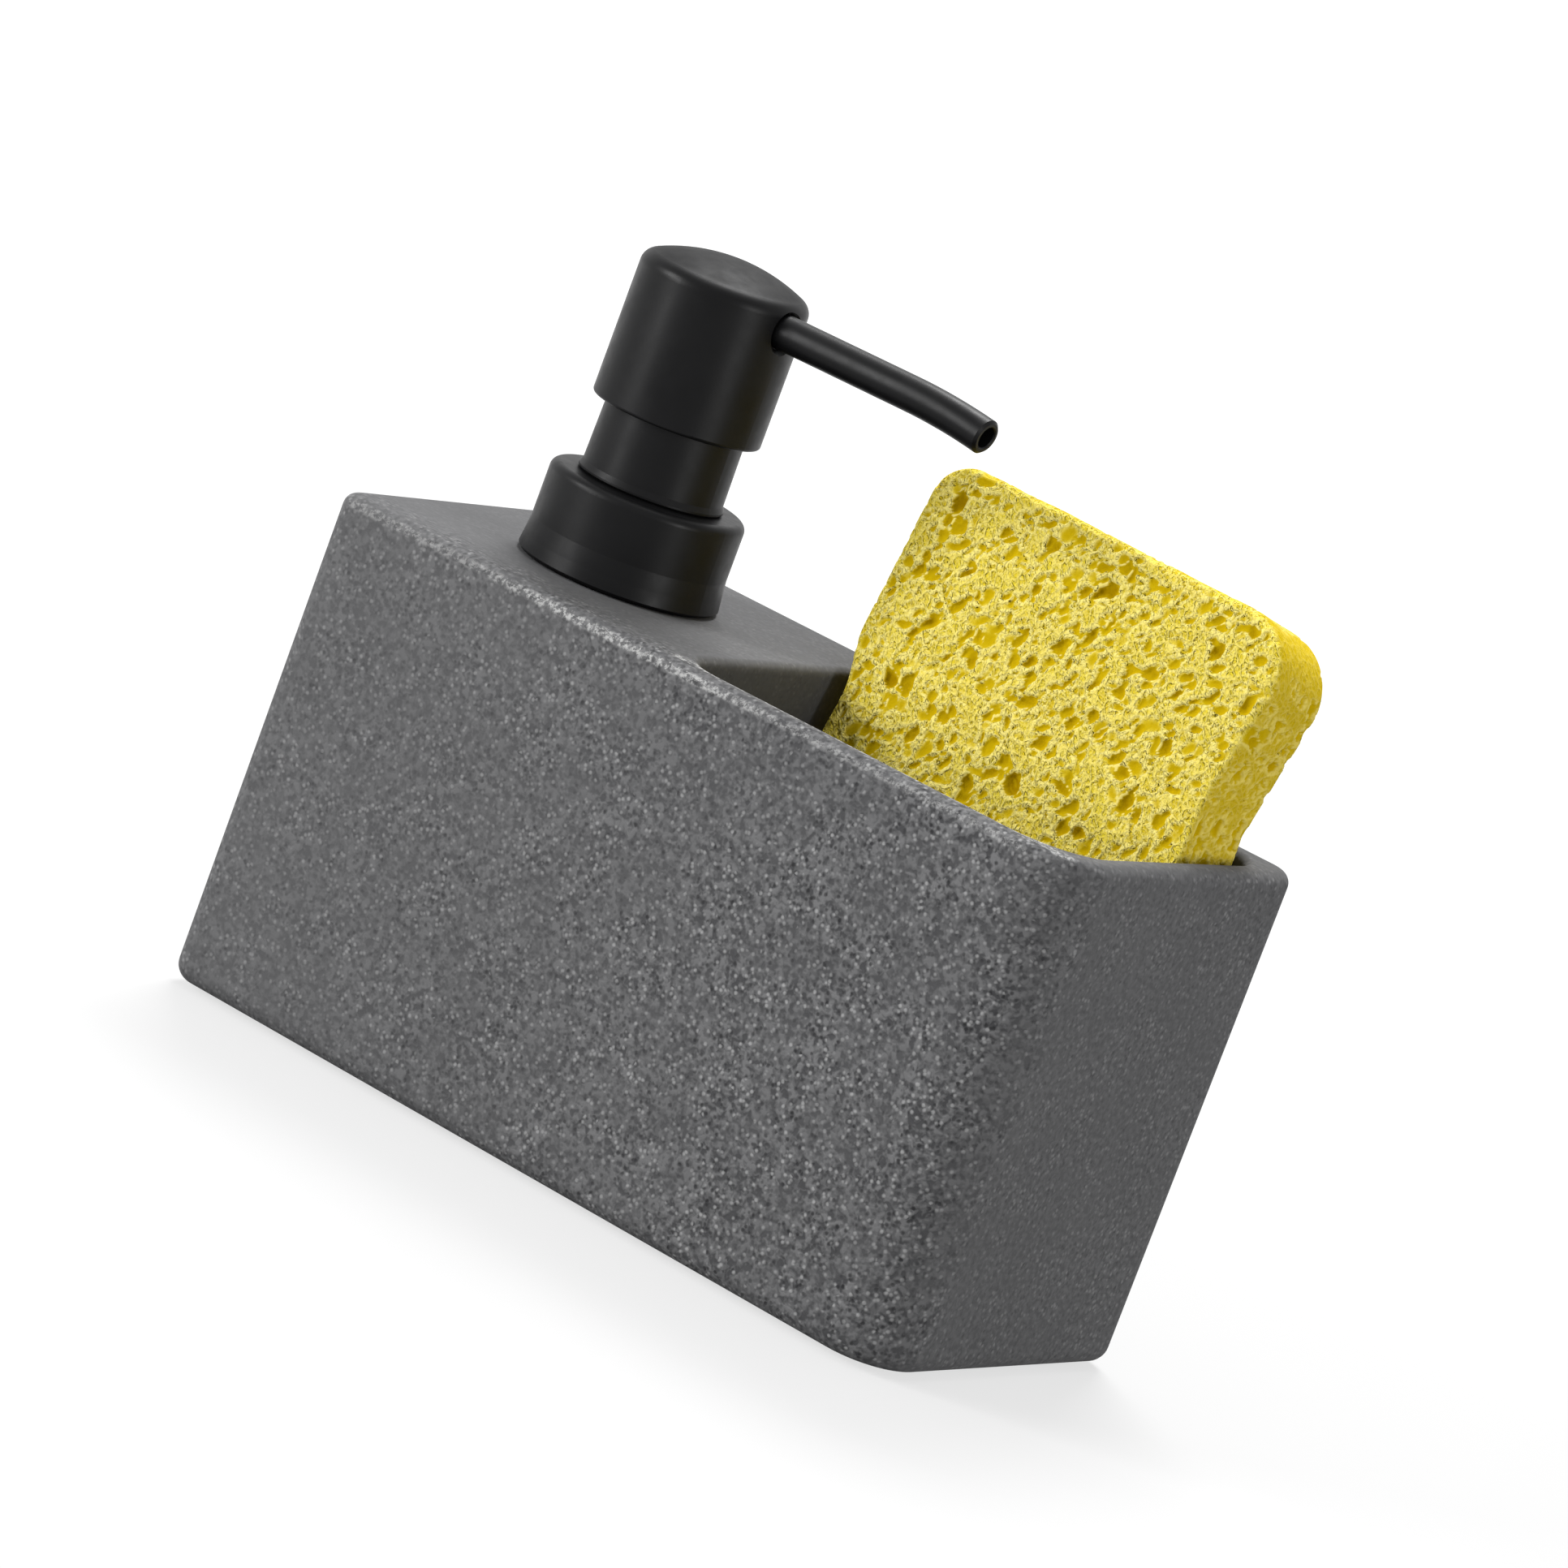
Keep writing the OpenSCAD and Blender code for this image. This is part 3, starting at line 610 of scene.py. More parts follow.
@dataclass(frozen=True)
class SpongeFinish:
    """Cellulose sponge: pale on the webs between the pores, golden and darkened by painted shade down in
    them.

    Two nets of thin walls lie between the cut pores, and fade out in them and on the narrow sides.
    """

    name: str = "cellulose_sponge"
    web: Colour = tone(247, 230, 130)
    body: Colour = tone(230, 207, 56)
    # Deep is the narrow sides' tone, the cells' tint and a painted shade in shallow pores; pit is the
    # painted shade in deep pores.
    deep_tone_and_shade: Colour = tone(198, 168, 12)
    pit_shade: Colour = tone(156, 125, 3)
    fibre: float = math.radians(38)
    cell: float = 1.15 * MM
    small_cell: float = 0.55 * MM
    cell_depth: float = 0.26 * MM
    small_depth: float = 0.12 * MM
    fine_depth: float = 0.14 * MM
    cell_share: float = 0.55
    net_share: float = 0.50
    small_net_share: float = 0.32
    side_share: float = 0.85

    def build(self) -> bpy.types.Material:
        """Makes the material.

        Returns:
            The material.
        """
        tree = Tree(self.name)
        hollow, ridge, broad = (tree.level(name) for name in ("hollow", "ridge", "broad"))
        fine = tree.noise(0.8 * MM, detail=4, rough=0.65)
        patch = tree.ramp(tree.noise(7 * MM, detail=3), 0.35, 0.65)
        wall = tree.webs(self.cell, self.fibre, 2.0, 0.9 * MM)
        small_wall = tree.webs(self.small_cell, self.fibre, 1.5, 0.4 * MM)
        cell = tree.ramp(wall, 0.02, 0.26)
        small_cell = tree.ramp(small_wall, 0.02, 0.25)
        # Painted shade: the deeper a pore, the darker its colour, from deep to pit; the narrow sides take
        # deep as their tone.
        uneven = tree.take(Step.PLUS, hollow, tree.times(tree.take(Step.LESS, fine, 0.5), 0.18))
        narrow = tree.ramp(broad, 0.8, 0.2, 0.0, self.side_share)
        pore_shade_and_side_tone = tree.take(Step.LARGER, narrow, tree.ramp(uneven, 0.08, 0.36))
        shown = tree.times(tree.ramp(hollow, 0.30, 0.10), tree.ramp(broad, 0.2, 0.8, 0.3, 1.0))
        colour = tree.mix(pore_shade_and_side_tone, self.body, self.deep_tone_and_shade)
        colour = tree.mix(tree.ramp(uneven, 0.40, 0.85), colour, self.pit_shade)
        colour = tree.mix(tree.times(cell, patch, self.cell_share), colour, self.deep_tone_and_shade)
        for net, low, share in ((wall, 0.16, self.net_share), (small_wall, 0.20, self.small_net_share)):
            line = tree.times(tree.ramp(net, low, 0.03), share, shown)
            colour = tree.mix(line, colour, self.web)
        crest = tree.times(tree.ramp(ridge, 0.15, 0.80), tree.ramp(broad, 0.2, 0.8, 0.45, 1.0))
        colour = tree.mix(crest, colour, self.web)
        tree.feed("Base Color", colour)
        tree.set(Roughness=0.9, Specular_IOR_Level=0.0, Subsurface_Weight=0.05,
                 Subsurface_Radius=(1.0, 0.85, 0.25), Subsurface_Scale=1.2 * MM)
        low = tree.bump(tree.times(cell, shown), -self.cell_depth)
        lower = tree.bump(tree.times(small_cell, shown), -self.small_depth, low)
        tree.feed("Normal", tree.bump(fine, self.fine_depth, lower))
        return tree.material


def dress(node: str, material: bpy.types.Material) -> None:
    """Gives a CAD node its finish through its object's own material slot.

    Args:
        node: The node's name.
        material: The finish.
    """
    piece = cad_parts[node]
    if not piece.material_slots:
        piece.data.materials.append(material)
    for index in range(len(piece.material_slots)):
        piece.material_slots[index].link = "OBJECT"
        piece.material_slots[index].material = material
    log.info("dressed %s in %s", node, material.name)


def mesh_object(name: str, points: Array, quads: Array, levels: dict[str, Array]) -> bpy.types.Object:
    """Puts whole arrays into a smooth mesh whose place is in its points.

    Args:
        name: The piece's name.
        points: Places of the points in metres, one a row.
        quads: Indices of each face's four points, one face a row.
        levels: Levels that the points carry for the finish, by name.

    Returns:
        The new object, at the origin.
    """
    mesh = bpy.data.meshes.new(name)
    mesh.vertices.add(len(points))
    mesh.vertices.foreach_set("co", points.astype(np.float32).ravel())
    mesh.loops.add(quads.size)
    mesh.loops.foreach_set("vertex_index", quads.astype(np.int32).ravel())
    mesh.polygons.add(len(quads))
    mesh.polygons.foreach_set("loop_start", np.arange(0, quads.size, 4, dtype=np.int32))
    mesh.polygons.foreach_set("use_smooth", np.ones(len(quads), dtype=bool))
    mesh.update(calc_edges=True)
    for level, values in levels.items():
        layer = mesh.attributes.new(level, "FLOAT", "POINT")
        layer.data.foreach_set("value", values.astype(np.float32))
    mesh.validate()
    piece = bpy.data.objects.new(name, mesh)
    bpy.context.scene.collection.objects.link(piece)
    return piece


@dataclass
class StoneBlock:
    """The cast block, the pad under it and the neck in its deck."""

    stone: StoneFinish = field(default_factory=StoneFinish)
    pad: MouldedFinish = MouldedFinish("pad_rubber", tone(40, 40, 41), tone(30, 30, 31), 0.75, 0.03 * MM)
    neck: MouldedFinish = MouldedFinish("neck_plastic", tone(40, 40, 41), tone(34, 34, 35), 0.42)

    def build(self) -> None:
        """Dresses the three nodes."""
        dress("caddy_body", self.stone.build())
        dress("base_pad", self.pad.build())
        dress("neck_insert", self.neck.build())


@dataclass
class PumpBody:
    """The collar, the sleeve and everything that hangs from them into the reservoir."""

    coat: CoatFinish = CoatFinish("collar_coat")
    nut: MouldedFinish = MouldedFinish("nut_plastic", tone(42, 42, 43), tone(35, 35, 36), 0.42)
    milky: MouldedFinish = MouldedFinish("milky_plastic", tone(236, 236, 230), tone(222, 222, 214), 0.32,
                                         milky=0.35)
    washer: MouldedFinish = MouldedFinish("washer_foam", tone(226, 225, 218), tone(208, 207, 200), 0.6)
    steel: SteelFinish = field(default_factory=SteelFinish)

    def build(self) -> None:
        """Dresses the nodes, each from the finish of its kind."""
        coat, milky, steel = self.coat.build(), self.milky.build(), self.steel.build()
        for node in ("collar_shell", "guide_sleeve"):
            dress(node, coat)
        dress("collar_nut", self.nut.build())
        dress("sealing_washer", self.washer.build())
        for node in ("pump_housing", "housing_cap", "dip_tube", "ball_cage", "piston_rod", "piston",
                     "pump_stem"):
            dress(node, milky)
        dress("inlet_ball", steel)


@dataclass
class CoilSpring:
    """The return spring: wire wound in a helix, built at the length of its CAD solid; the real one
    shortens as the plunger goes down.
    """

    axis: tuple[float, float] = (-39.8 * MM, -1.65 * MM)
    radius: float = 4.4 * MM
    wire: float = 0.5 * MM
    curls: int = 6
    rings: int = 40
    sides: int = 12
    travel: float = 10.5 * MM
    steel: SteelFinish = SteelFinish("spring_wire")

    def points(self, low: float, high: float) -> Array:
        """The wire's surface.

        At the angle a along the helix and b round the wire, a point lies at radius + wire cos b from the
        axis, and wire sin b above the wire's middle, which climbs evenly with a.

        Args:
            low: Height of the spring's foot.
            high: Height of its top.

        Returns:
            The points, ring by ring from the foot.
        """
        count = self.curls * self.rings + 1
        turn = np.linspace(0, 2 * np.pi * self.curls, count)[:, None]
        middle = np.linspace(low + self.wire, high - self.wire, count)[:, None]
        round_wire = np.arange(self.sides) * 2 * np.pi / self.sides
        out = self.radius + self.wire * np.cos(round_wire)
        place = [self.axis[0] + out * np.cos(turn), self.axis[1] + out * np.sin(turn),
                 middle + self.wire * np.sin(round_wire)]
        return np.stack(place, axis=-1).reshape(-1, 3)

    def quads(self) -> Array:
        """The wire's faces, with both ends closed by strips that run across them.

        Returns:
            The quads' indices into the points.
        """
        last = self.curls * self.rings * self.sides
        ring = np.arange(0, last, self.sides)[:, None]
        here = np.arange(self.sides)
        after = (here + 1) % self.sides
        tube = [ring + here, ring + self.sides + here, ring + self.sides + after, ring + after]
        near = np.arange(self.sides // 2 - 1)
        end = np.stack([near, near + 1, self.sides - 2 - near, self.sides - 1 - near], axis=-1)
        return np.concatenate([np.stack(tube, axis=-1).reshape(-1, 4), end, last + end[:, ::-1]])

    def build(self) -> bpy.types.Object:
        """Makes the spring in place of its CAD solid, with its foot held on the housing.

        Returns:
            The spring.
        """
        low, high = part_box("return_spring")
        piece = mesh_object("coil_spring", self.points(low.z, high.z), self.quads(), {})
        piece.data.materials.append(self.steel.build())
        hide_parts("return_spring")
        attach(piece, "pump_unit")
        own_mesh(piece)
        return piece


@dataclass
class PumpHead:
    """The cap that is pressed, its core and the spout."""

    coat: CoatFinish = CoatFinish("head_coat", roughness=0.37, shine=0.125, pressed=133.4 * MM)
    core: MouldedFinish = MouldedFinish("core_plastic", tone(42, 42, 43), tone(35, 35, 36), 0.42)

    def build(self) -> None:
        """Dresses the three nodes."""
        coat = self.coat.build()
        dress("head_shell", coat)
        dress("spout_tube", coat)
        dress("head_core", self.core.build())


def smooth(low: float, high: float, values: Array) -> Array:
    """A smooth step from 0 at low to 1 at high."""
    share = np.clip((values - low) / (high - low), 0, 1)
    return share * share * (3 - 2 * share)


@dataclass(frozen=True)
class PoreKind:
    """One size of pore.

    It says how many there are, their least and greatest half width in mm, the depth in half widths, and
    the power that makes a bowl's floor flatter the smaller it is.
    """

    count: int
    small: float
    large: float
    depth: float
    flat: float


@dataclass(frozen=True)
class Pores:
    """Pores as bowls with an oval rim, one row each."""

    centres: Array
    halves: Array
    depths: Array
    turns: Array
    flats: Array


@dataclass
class CelluloseSponge:
    """The sponge: a slab with worn corners whose faces are cut through pores of all sizes.

    The showy pores are given as shares of the width from the left and of the visible height from the
    pocket's rim, with the half width in mm and how slim they are. `spread` is how far the pores' long
    axes vary about `grain`, in radians. `bend`, `swell` and `puff` are heights of the waves that bend the
    rims, of the broad waves of the faces, and of the part that the pocket doesn't hold.
    """

    width: float = 70 * MM
    thickness: float = 15 * MM
    height: float = 110 * MM
    lean: float = math.radians(13.9)
    turn: float = math.radians(-4.8)
    corner: float = 6.5 * MM
    worn_corner: float = 11 * MM
    edge: float = 1.3 * MM
    rim: float = 70 * MM
    shown: float = 50 * MM
    fine_step: float = 0.33 * MM
    side_step: float = 0.45 * MM
    coarse_step: float = 0.55 * MM
    foot: Point = (30.43 * MM, -7.16 * MM, 13.10 * MM)
    seed: int = 11
    grain: float = math.radians(53)
    spread: float = 0.45
    bend: float = 0.26 * MM
    swell: float = 0.12 * MM
    puff: float = 0.15 * MM
    web: float = 0.11 * MM
    deepest: float = 1.5 * MM
    left_over: float = -2.6 * MM
    left_up: float = -0.8 * MM
    right_over: float = -1.3 * MM
    right_up: float = 1.5 * MM
    kinds: tuple[PoreKind, ...] = (
        PoreKind(9500, 0.28, 0.52, 0.95, 0.6), PoreKind(4300, 0.48, 0.85, 0.80, 0.5),
        PoreKind(1500, 0.80, 1.25, 0.66, 0.42), PoreKind(240, 1.2, 1.7, 0.60, 0.4))
    showy: tuple[tuple[float, float, float, float], ...] = (
        (0.077, 0.85, 1.7, 2.0), (0.12, 0.12, 1.7, 1.2), (0.52, -0.01, 1.9, 1.2), (0.49, 0.54, 1.3, 1.3),
        (0.65, 0.36, 1.2, 1.1), (0.78, 0.22, 1.4, 1.1), (0.77, 0.40, 1.0, 1.1), (0.475, 0.05, 1.2, 1.4),
        (0.34, 0.87, 1.2, 1.2), (0.67, 0.58, 1.1, 1.2), (0.30, 0.33, 1.3, 1.9), (0.88, 0.62, 1.1, 1.3))
    finish: SpongeFinish = field(default_factory=SpongeFinish)

    def spacing(self) -> tuple[Array, Array, Array]:
        """The grid's places along the width, the thickness and the height.

        The steps are equal, but longer below the part that stands clear of the pocket.

        Returns:
            Places along x, y and z, from the slab's low corner.
        """
        along_x = np.linspace(0, self.width, round(self.width / self.fine_step) + 1)
        along_y = np.linspace(0, self.thickness, round(self.thickness / self.side_step) + 1)
        clear = self.height - self.shown
        low = np.linspace(0, clear, round(clear / self.coarse_step) + 1)
        high = np.linspace(clear, self.height, round(self.shown / self.fine_step) + 1)
        return along_x, along_y, np.concatenate([low, high[1:]])

    def grid(self) -> tuple[Array, Array]:
        """The surface of the square slab as six grids that share their edges.

        Points are numbered by their place in the full lattice, and those inside are dropped.

        Returns:
            Lattice points on the surface, in metres, and the faces' quads.
        """
        xs, ys, zs = self.spacing()
        shape = (len(xs), len(ys), len(zs))
        index = np.arange(np.prod(shape)).reshape(shape)
        sheets = []
        for axis in range(3):
            for end in (0, -1):
                sheet = np.take(index, end, axis=axis)
                faces = np.stack([sheet[:-1, :-1], sheet[1:, :-1], sheet[1:, 1:], sheet[:-1, 1:]], axis=-1)
                outward = (end == -1) != (axis == 1)
                sheets.append(faces.reshape(-1, 4)[:, ::1 if outward else -1])
        quads = np.concatenate(sheets)
        used, renumbered = np.unique(quads, return_inverse=True)
        i, j, k = np.unravel_index(used, shape)
        points = np.stack([xs[i] - self.width / 2, ys[j], zs[k]], axis=1)
        return points, renumbered.reshape(-1, 4)

    def corner_radius(self, right: Array, top: Array) -> Array:
        """The radius of the outline's corner at the given sides."""
        return np.where(right & top, self.worn_corner, self.corner)

    def round_corners(self, points: Array) -> Array:
        """Turns the outline's square corners into arcs.

        In a corner's square of side r, a point at (u, v) from its inner corner goes to the distance
        max(u, v), at the angle 45 degrees times v / u, or at 90 degrees less 45 times u / v.

        Args:
            points: The slab's points.

        Returns:
            The moved points.
        """
        right, top = points[:, 0] > 0, points[:, 2] > self.height / 2
        side, up = np.where(right, 1.0, -1.0), np.where(top, 1.0, -1.0)
        r = self.corner_radius(right, top)
        centre_x = side * (self.width / 2 - r)
        centre_z = np.where(top, self.height - r, r)
        u, v = side * (points[:, 0] - centre_x), up * (points[:, 2] - centre_z)
        inside = (u > 0) & (v > 0)
        far, near = np.maximum(u, v), np.minimum(u, v)
        angle = np.pi / 4 * near / np.maximum(far, 1e-9)
        angle = np.where(u >= v, angle, np.pi / 2 - angle)
        moved = points.copy()
        moved[:, 0] = np.where(inside, centre_x + side * far * np.cos(angle), points[:, 0])
        moved[:, 2] = np.where(inside, centre_z + up * far * np.sin(angle), points[:, 2])
        return moved

    def outline(self, points: Array) -> tuple[Array, Array]:
        """How deep each point lies inside the outline, and which way the outline is.

        Args:
            points: Points whose x and z lie within the rounded outline.

        Returns:
            The depth, and the outward direction as x and z.
        """
        right, top = points[:, 0] > 0, points[:, 2] > self.height / 2
        side, up = np.where(right, 1.0, -1.0), np.where(top, 1.0, -1.0)
        r = self.corner_radius(right, top)
        u = side * points[:, 0] - (self.width / 2 - r)
        v = np.where(top, points[:, 2] - (self.height - r), r - points[:, 2])
        in_corner = (u > 0) & (v > 0)
        along = np.maximum(np.hypot(u, v), 1e-9)
        depth = np.where(in_corner, r - along, r - np.maximum(u, v))
        out_x = np.where(in_corner, u / along, (u >= v).astype(float)) * side
        out_z = np.where(in_corner, v / along, (u < v).astype(float)) * up
        return depth, np.stack([out_x, out_z], axis=1)

    def soften(self, points: Array) -> tuple[Array, Array, Array]:
        """Rounds the long edges, and gives each point its outward direction.

        Within the radius r of an edge, the two faces' distances from where the rounding starts run from
        0 to r and are carried onto the arc, at 45 degrees times the smaller over r.

        Args:
            points: Points of the sharp-edged slab.

        Returns:
            The rounded points, their directions, and their distance from the nearest long edge.
        """
        depth, out = self.outline(points)
        back = points[:, 1] > self.thickness / 2
        inward = np.where(back, self.thickness - points[:, 1], points[:, 1])
        a = np.clip(self.edge - depth, 0, self.edge)
        b = np.clip(self.edge - inward, 0, self.edge)
        near_edge = (a > 0) & (b > 0)
        angle = np.where(a <= b, np.pi / 4 * a / self.edge, np.pi / 2 - np.pi / 4 * b / self.edge)
        new_a = np.where(near_edge, self.edge * np.sin(angle), a)
        new_b = np.where(near_edge, self.edge * np.cos(angle), b)
        facing = np.where(back, 1.0, -1.0)
        moved = points.copy()
        moved[:, [0, 2]] += out * (new_a - a)[:, None]
        moved[:, 1] -= facing * (b - new_b)
        on_side = (depth < inward).astype(float)
        share_a = np.where(near_edge, new_a / self.edge, on_side)
        share_b = np.where(near_edge, new_b / self.edge, 1 - on_side)
        normal = np.stack([out[:, 0] * share_a, facing * share_b, out[:, 1] * share_a], axis=1)
        normal /= np.linalg.norm(normal, axis=1, keepdims=True)
        return moved, normal, np.maximum(depth, inward)

    def pores(self) -> Pores:
        """Draws the pores that cut the surface, with the showy ones last.

        Returns:
            The pores.
        """
        dice = np.random.default_rng(self.seed)
        areas = np.array([self.width * self.height, self.thickness * self.height,
                          self.width * self.thickness]).repeat(2)
        centres, halves, depths, turns, flats = [], [], [], [], []
        for kind in self.kinds:
            face = dice.choice(6, size=kind.count, p=areas / areas.sum())
            place = dice.random((kind.count, 3)) * [self.width, self.thickness, self.height]
            place[:, 0] -= self.width / 2
            for index, (axis, end) in enumerate(((1, 0), (1, self.thickness), (0, -self.width / 2),
                                                 (0, self.width / 2), (2, 0), (2, self.height))):
                place[face == index, axis] = end
            half = (kind.small + (kind.large - kind.small) * dice.random(kind.count) ** 1.6) * MM
            slim = np.sqrt(1.15 + 1.3 * dice.random(kind.count) ** 1.3)
            centres.append(place)
            halves.append(np.stack([half * slim, half / slim], axis=1))
            depths.append(half * kind.depth * (0.5 + 0.9 * dice.random(kind.count)))
            turns.append(self.grain + dice.normal(0, self.spread, kind.count))
            flats.append(np.full(kind.count, kind.flat))
        share_x, share_z, half, slim = np.array(self.showy).T
        place_x = (share_x - 0.5) * self.width
        place_z = self.rim + share_z * (self.height - self.rim)
        centres.append(np.stack([place_x, np.zeros_like(place_x), place_z], axis=1))
        halves.append(np.stack([half * np.sqrt(slim), half / np.sqrt(slim)], axis=1) * MM)
        depths.append(half * 0.75 * MM)
        turns.append(np.where(slim > 1.5, self.grain + 0.8, self.grain))
        flats.append(np.full(len(half), 0.4))
        return Pores(*(np.concatenate(part) for part in (centres, halves, depths, turns, flats)))

    def waves(self, points: Array, count: int, short: float, long: float, seed: int) -> Array:
        """A sum of waves of random direction, with a mean square of one half for each.

        Args:
            points: Where it is taken.
            count: How many waves there are.
            short: Their least length, in metres.
            long: Their greatest length, in metres.
            seed: What they are drawn from.

        Returns:
            The sum over the root of the count, at each point.
        """
        dice = np.random.default_rng(seed)
        ways = dice.normal(size=(3, count))
        ways *= 2 * np.pi / np.linalg.norm(ways, axis=0) / dice.uniform(short, long, count)
        return np.sin(points @ ways + dice.uniform(0, 2 * np.pi, count)).sum(axis=1) / math.sqrt(count)

    def carve(self, points: Array) -> Array:
        """How deep the pores cut at each point: the deepest bowl there.

        A bowl of depth d is d times (1 - q) to the power of its flatness, where q is the squared distance
        from its centre in units of its own half length and half width. The points are first bent by
        waves, so that no rim is a true oval.

        Args:
            points: Points of the slab's surface.

        Returns:
            The depth at each point.
        """
        bend = [self.waves(points, 9, 1.6 * MM, 5 * MM, self.seed + n) for n in (3, 4, 5)]
        bent = points + np.stack(bend, axis=1) * self.bend
        order = np.argsort(bent[:, 2])
        ranked = bent[order]
        pores = self.pores()
        depth = np.zeros(len(points))
        reach = pores.halves[:, 0]
        lows = np.searchsorted(ranked[:, 2], pores.centres[:, 2] - reach)
        highs = np.searchsorted(ranked[:, 2], pores.centres[:, 2] + reach)
        for n, (low, high) in enumerate(zip(lows, highs)):
            near = ranked[low:high] - pores.centres[n]
            half, turn = pores.halves[n], pores.turns[n]
            along = near[:, 0] * math.cos(turn) + near[:, 2] * math.sin(turn)
            across = near[:, 2] * math.cos(turn) - near[:, 0] * math.sin(turn)
            q = (along / half[0]) ** 2 + (across / half[1]) ** 2 + (near[:, 1] / half[1]) ** 2
            bowl = pores.depths[n] * np.clip(1 - q, 0, 1) ** pores.flats[n]
            depth[low:high] = np.maximum(depth[low:high], bowl)
        result = np.empty_like(depth)
        result[order] = depth
        return result

    def ridges(self, height: Array, quads: Array) -> Array:
        """How far each point stands above the mean of its neighbours, from 0 to 1.

        Args:
            height: The surface's rise at each point.
            quads: The faces.

        Returns:
            The level of the webs.
        """
        mean = height
        ends = np.concatenate([quads, np.roll(quads, 1, axis=1)]).ravel()
        starts = np.concatenate([np.roll(quads, 1, axis=1), quads]).ravel()
        count = np.bincount(ends, minlength=len(height))
        for _ in range(3):
            mean = np.bincount(ends, weights=mean[starts], minlength=len(height)) / count
        return np.clip((height - mean) / self.web, 0, 1)

    def bulge(self, points: Array) -> Array:
        """Lets the sponge spread over the pocket's rim, mostly to the left.

        Each edge moves by one shift over the rim and by another up to the top. In between the shift is in
        proportion.

        Args:
            points: Points in the slab's own frame.

        Returns:
            The moved points.
        """
        over = smooth(self.rim - 1 * MM, self.rim + 11 * MM, points[:, 2])
        up = smooth(self.rim + 8 * MM, self.height, points[:, 2])
        share = points[:, 0] / self.width + 0.5
        left = self.left_over * over + self.left_up * up
        right = self.right_over * over + self.right_up * up
        moved = points.copy()
        moved[:, 0] += left + (right - left) * share
        return moved

    def place(self, points: Array) -> Array:
        """Stands the slab in the pocket as its CAD solid stands.

        Args:
            points: Points in the slab's own frame.

        Returns:
            Points in the caddy's frame.
        """
        stand = Matrix.Rotation(self.turn, 3, "Z") @ Matrix.Rotation(-self.lean, 3, "X")
        return points @ np.array(stand).T + np.array(self.foot)

    def build(self) -> bpy.types.Object:
        """Makes the sponge in place of its CAD solid.

        Returns:
            The sponge.
        """
        points, quads = self.grid()
        rounded, normal, from_edge = self.soften(self.round_corners(points))
        whole = 0.35 + 0.65 * smooth(0, 2.4 * MM, from_edge)
        hollow = self.carve(rounded) * whole
        swell = self.waves(rounded, 8, 6 * MM, 26 * MM, self.seed + 1) * self.swell
        puff = self.puff * smooth(self.rim, self.rim + 6 * MM, rounded[:, 2])
        rise = swell * whole - hollow
        shaped = self.bulge(rounded + normal * (rise + puff)[:, None])
        levels = {"hollow": np.clip(hollow / self.deepest, 0, 1), "ridge": self.ridges(rise, quads),
                  "broad": np.abs(normal[:, 1])}
        piece = mesh_object("porous_sponge", self.place(shaped), quads, levels)
        piece.data.materials.append(self.finish.build())
        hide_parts("sponge")
        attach(piece, "sponge")
        log.info("built %s with %d faces", piece.name, len(quads))
        return piece


def direction(azimuth: float, elevation: float) -> Vector:
    """The way from the caddy to a place round it.

    Args:
        azimuth: Degrees from the front face towards the right.
        elevation: Degrees above the floor.

    Returns:
        The direction, with a length of 1.
    """
    turn, rise = math.radians(azimuth), math.radians(elevation)
    return Vector((math.sin(turn) * math.cos(rise), -math.cos(turn) * math.cos(rise), math.sin(rise)))


@dataclass(frozen=True)
class Lamp:
    """A soft lamp: its azimuth and elevation in degrees, distance, width and height in metres.

    A surface that faces the lamp squarely is lit to its own colour at level 1.
    """

    name: str
    azimuth: float
    elevation: float
    distance: float
    width: float
    height: float
    level: float

    def hang(self, aim: Point) -> None:
        """Hangs the lamp.

        Args:
            aim: The place that it faces, and from which its distance is measured.
        """
        light = bpy.data.lights.new(self.name, "AREA")
        light.shape = "RECTANGLE"
        light.size, light.size_y = self.width, self.height
        light.energy = self.level * math.pi ** 2 * self.distance ** 2
        lamp = bpy.data.objects.new(self.name, light)
        away = direction(self.azimuth, self.elevation)
        lamp.matrix_world = Matrix.Translation(away * self.distance + Vector(aim)) @ \
            away.to_track_quat("Z", "Y").to_matrix().to_4x4()
        bpy.context.scene.collection.objects.link(lamp)


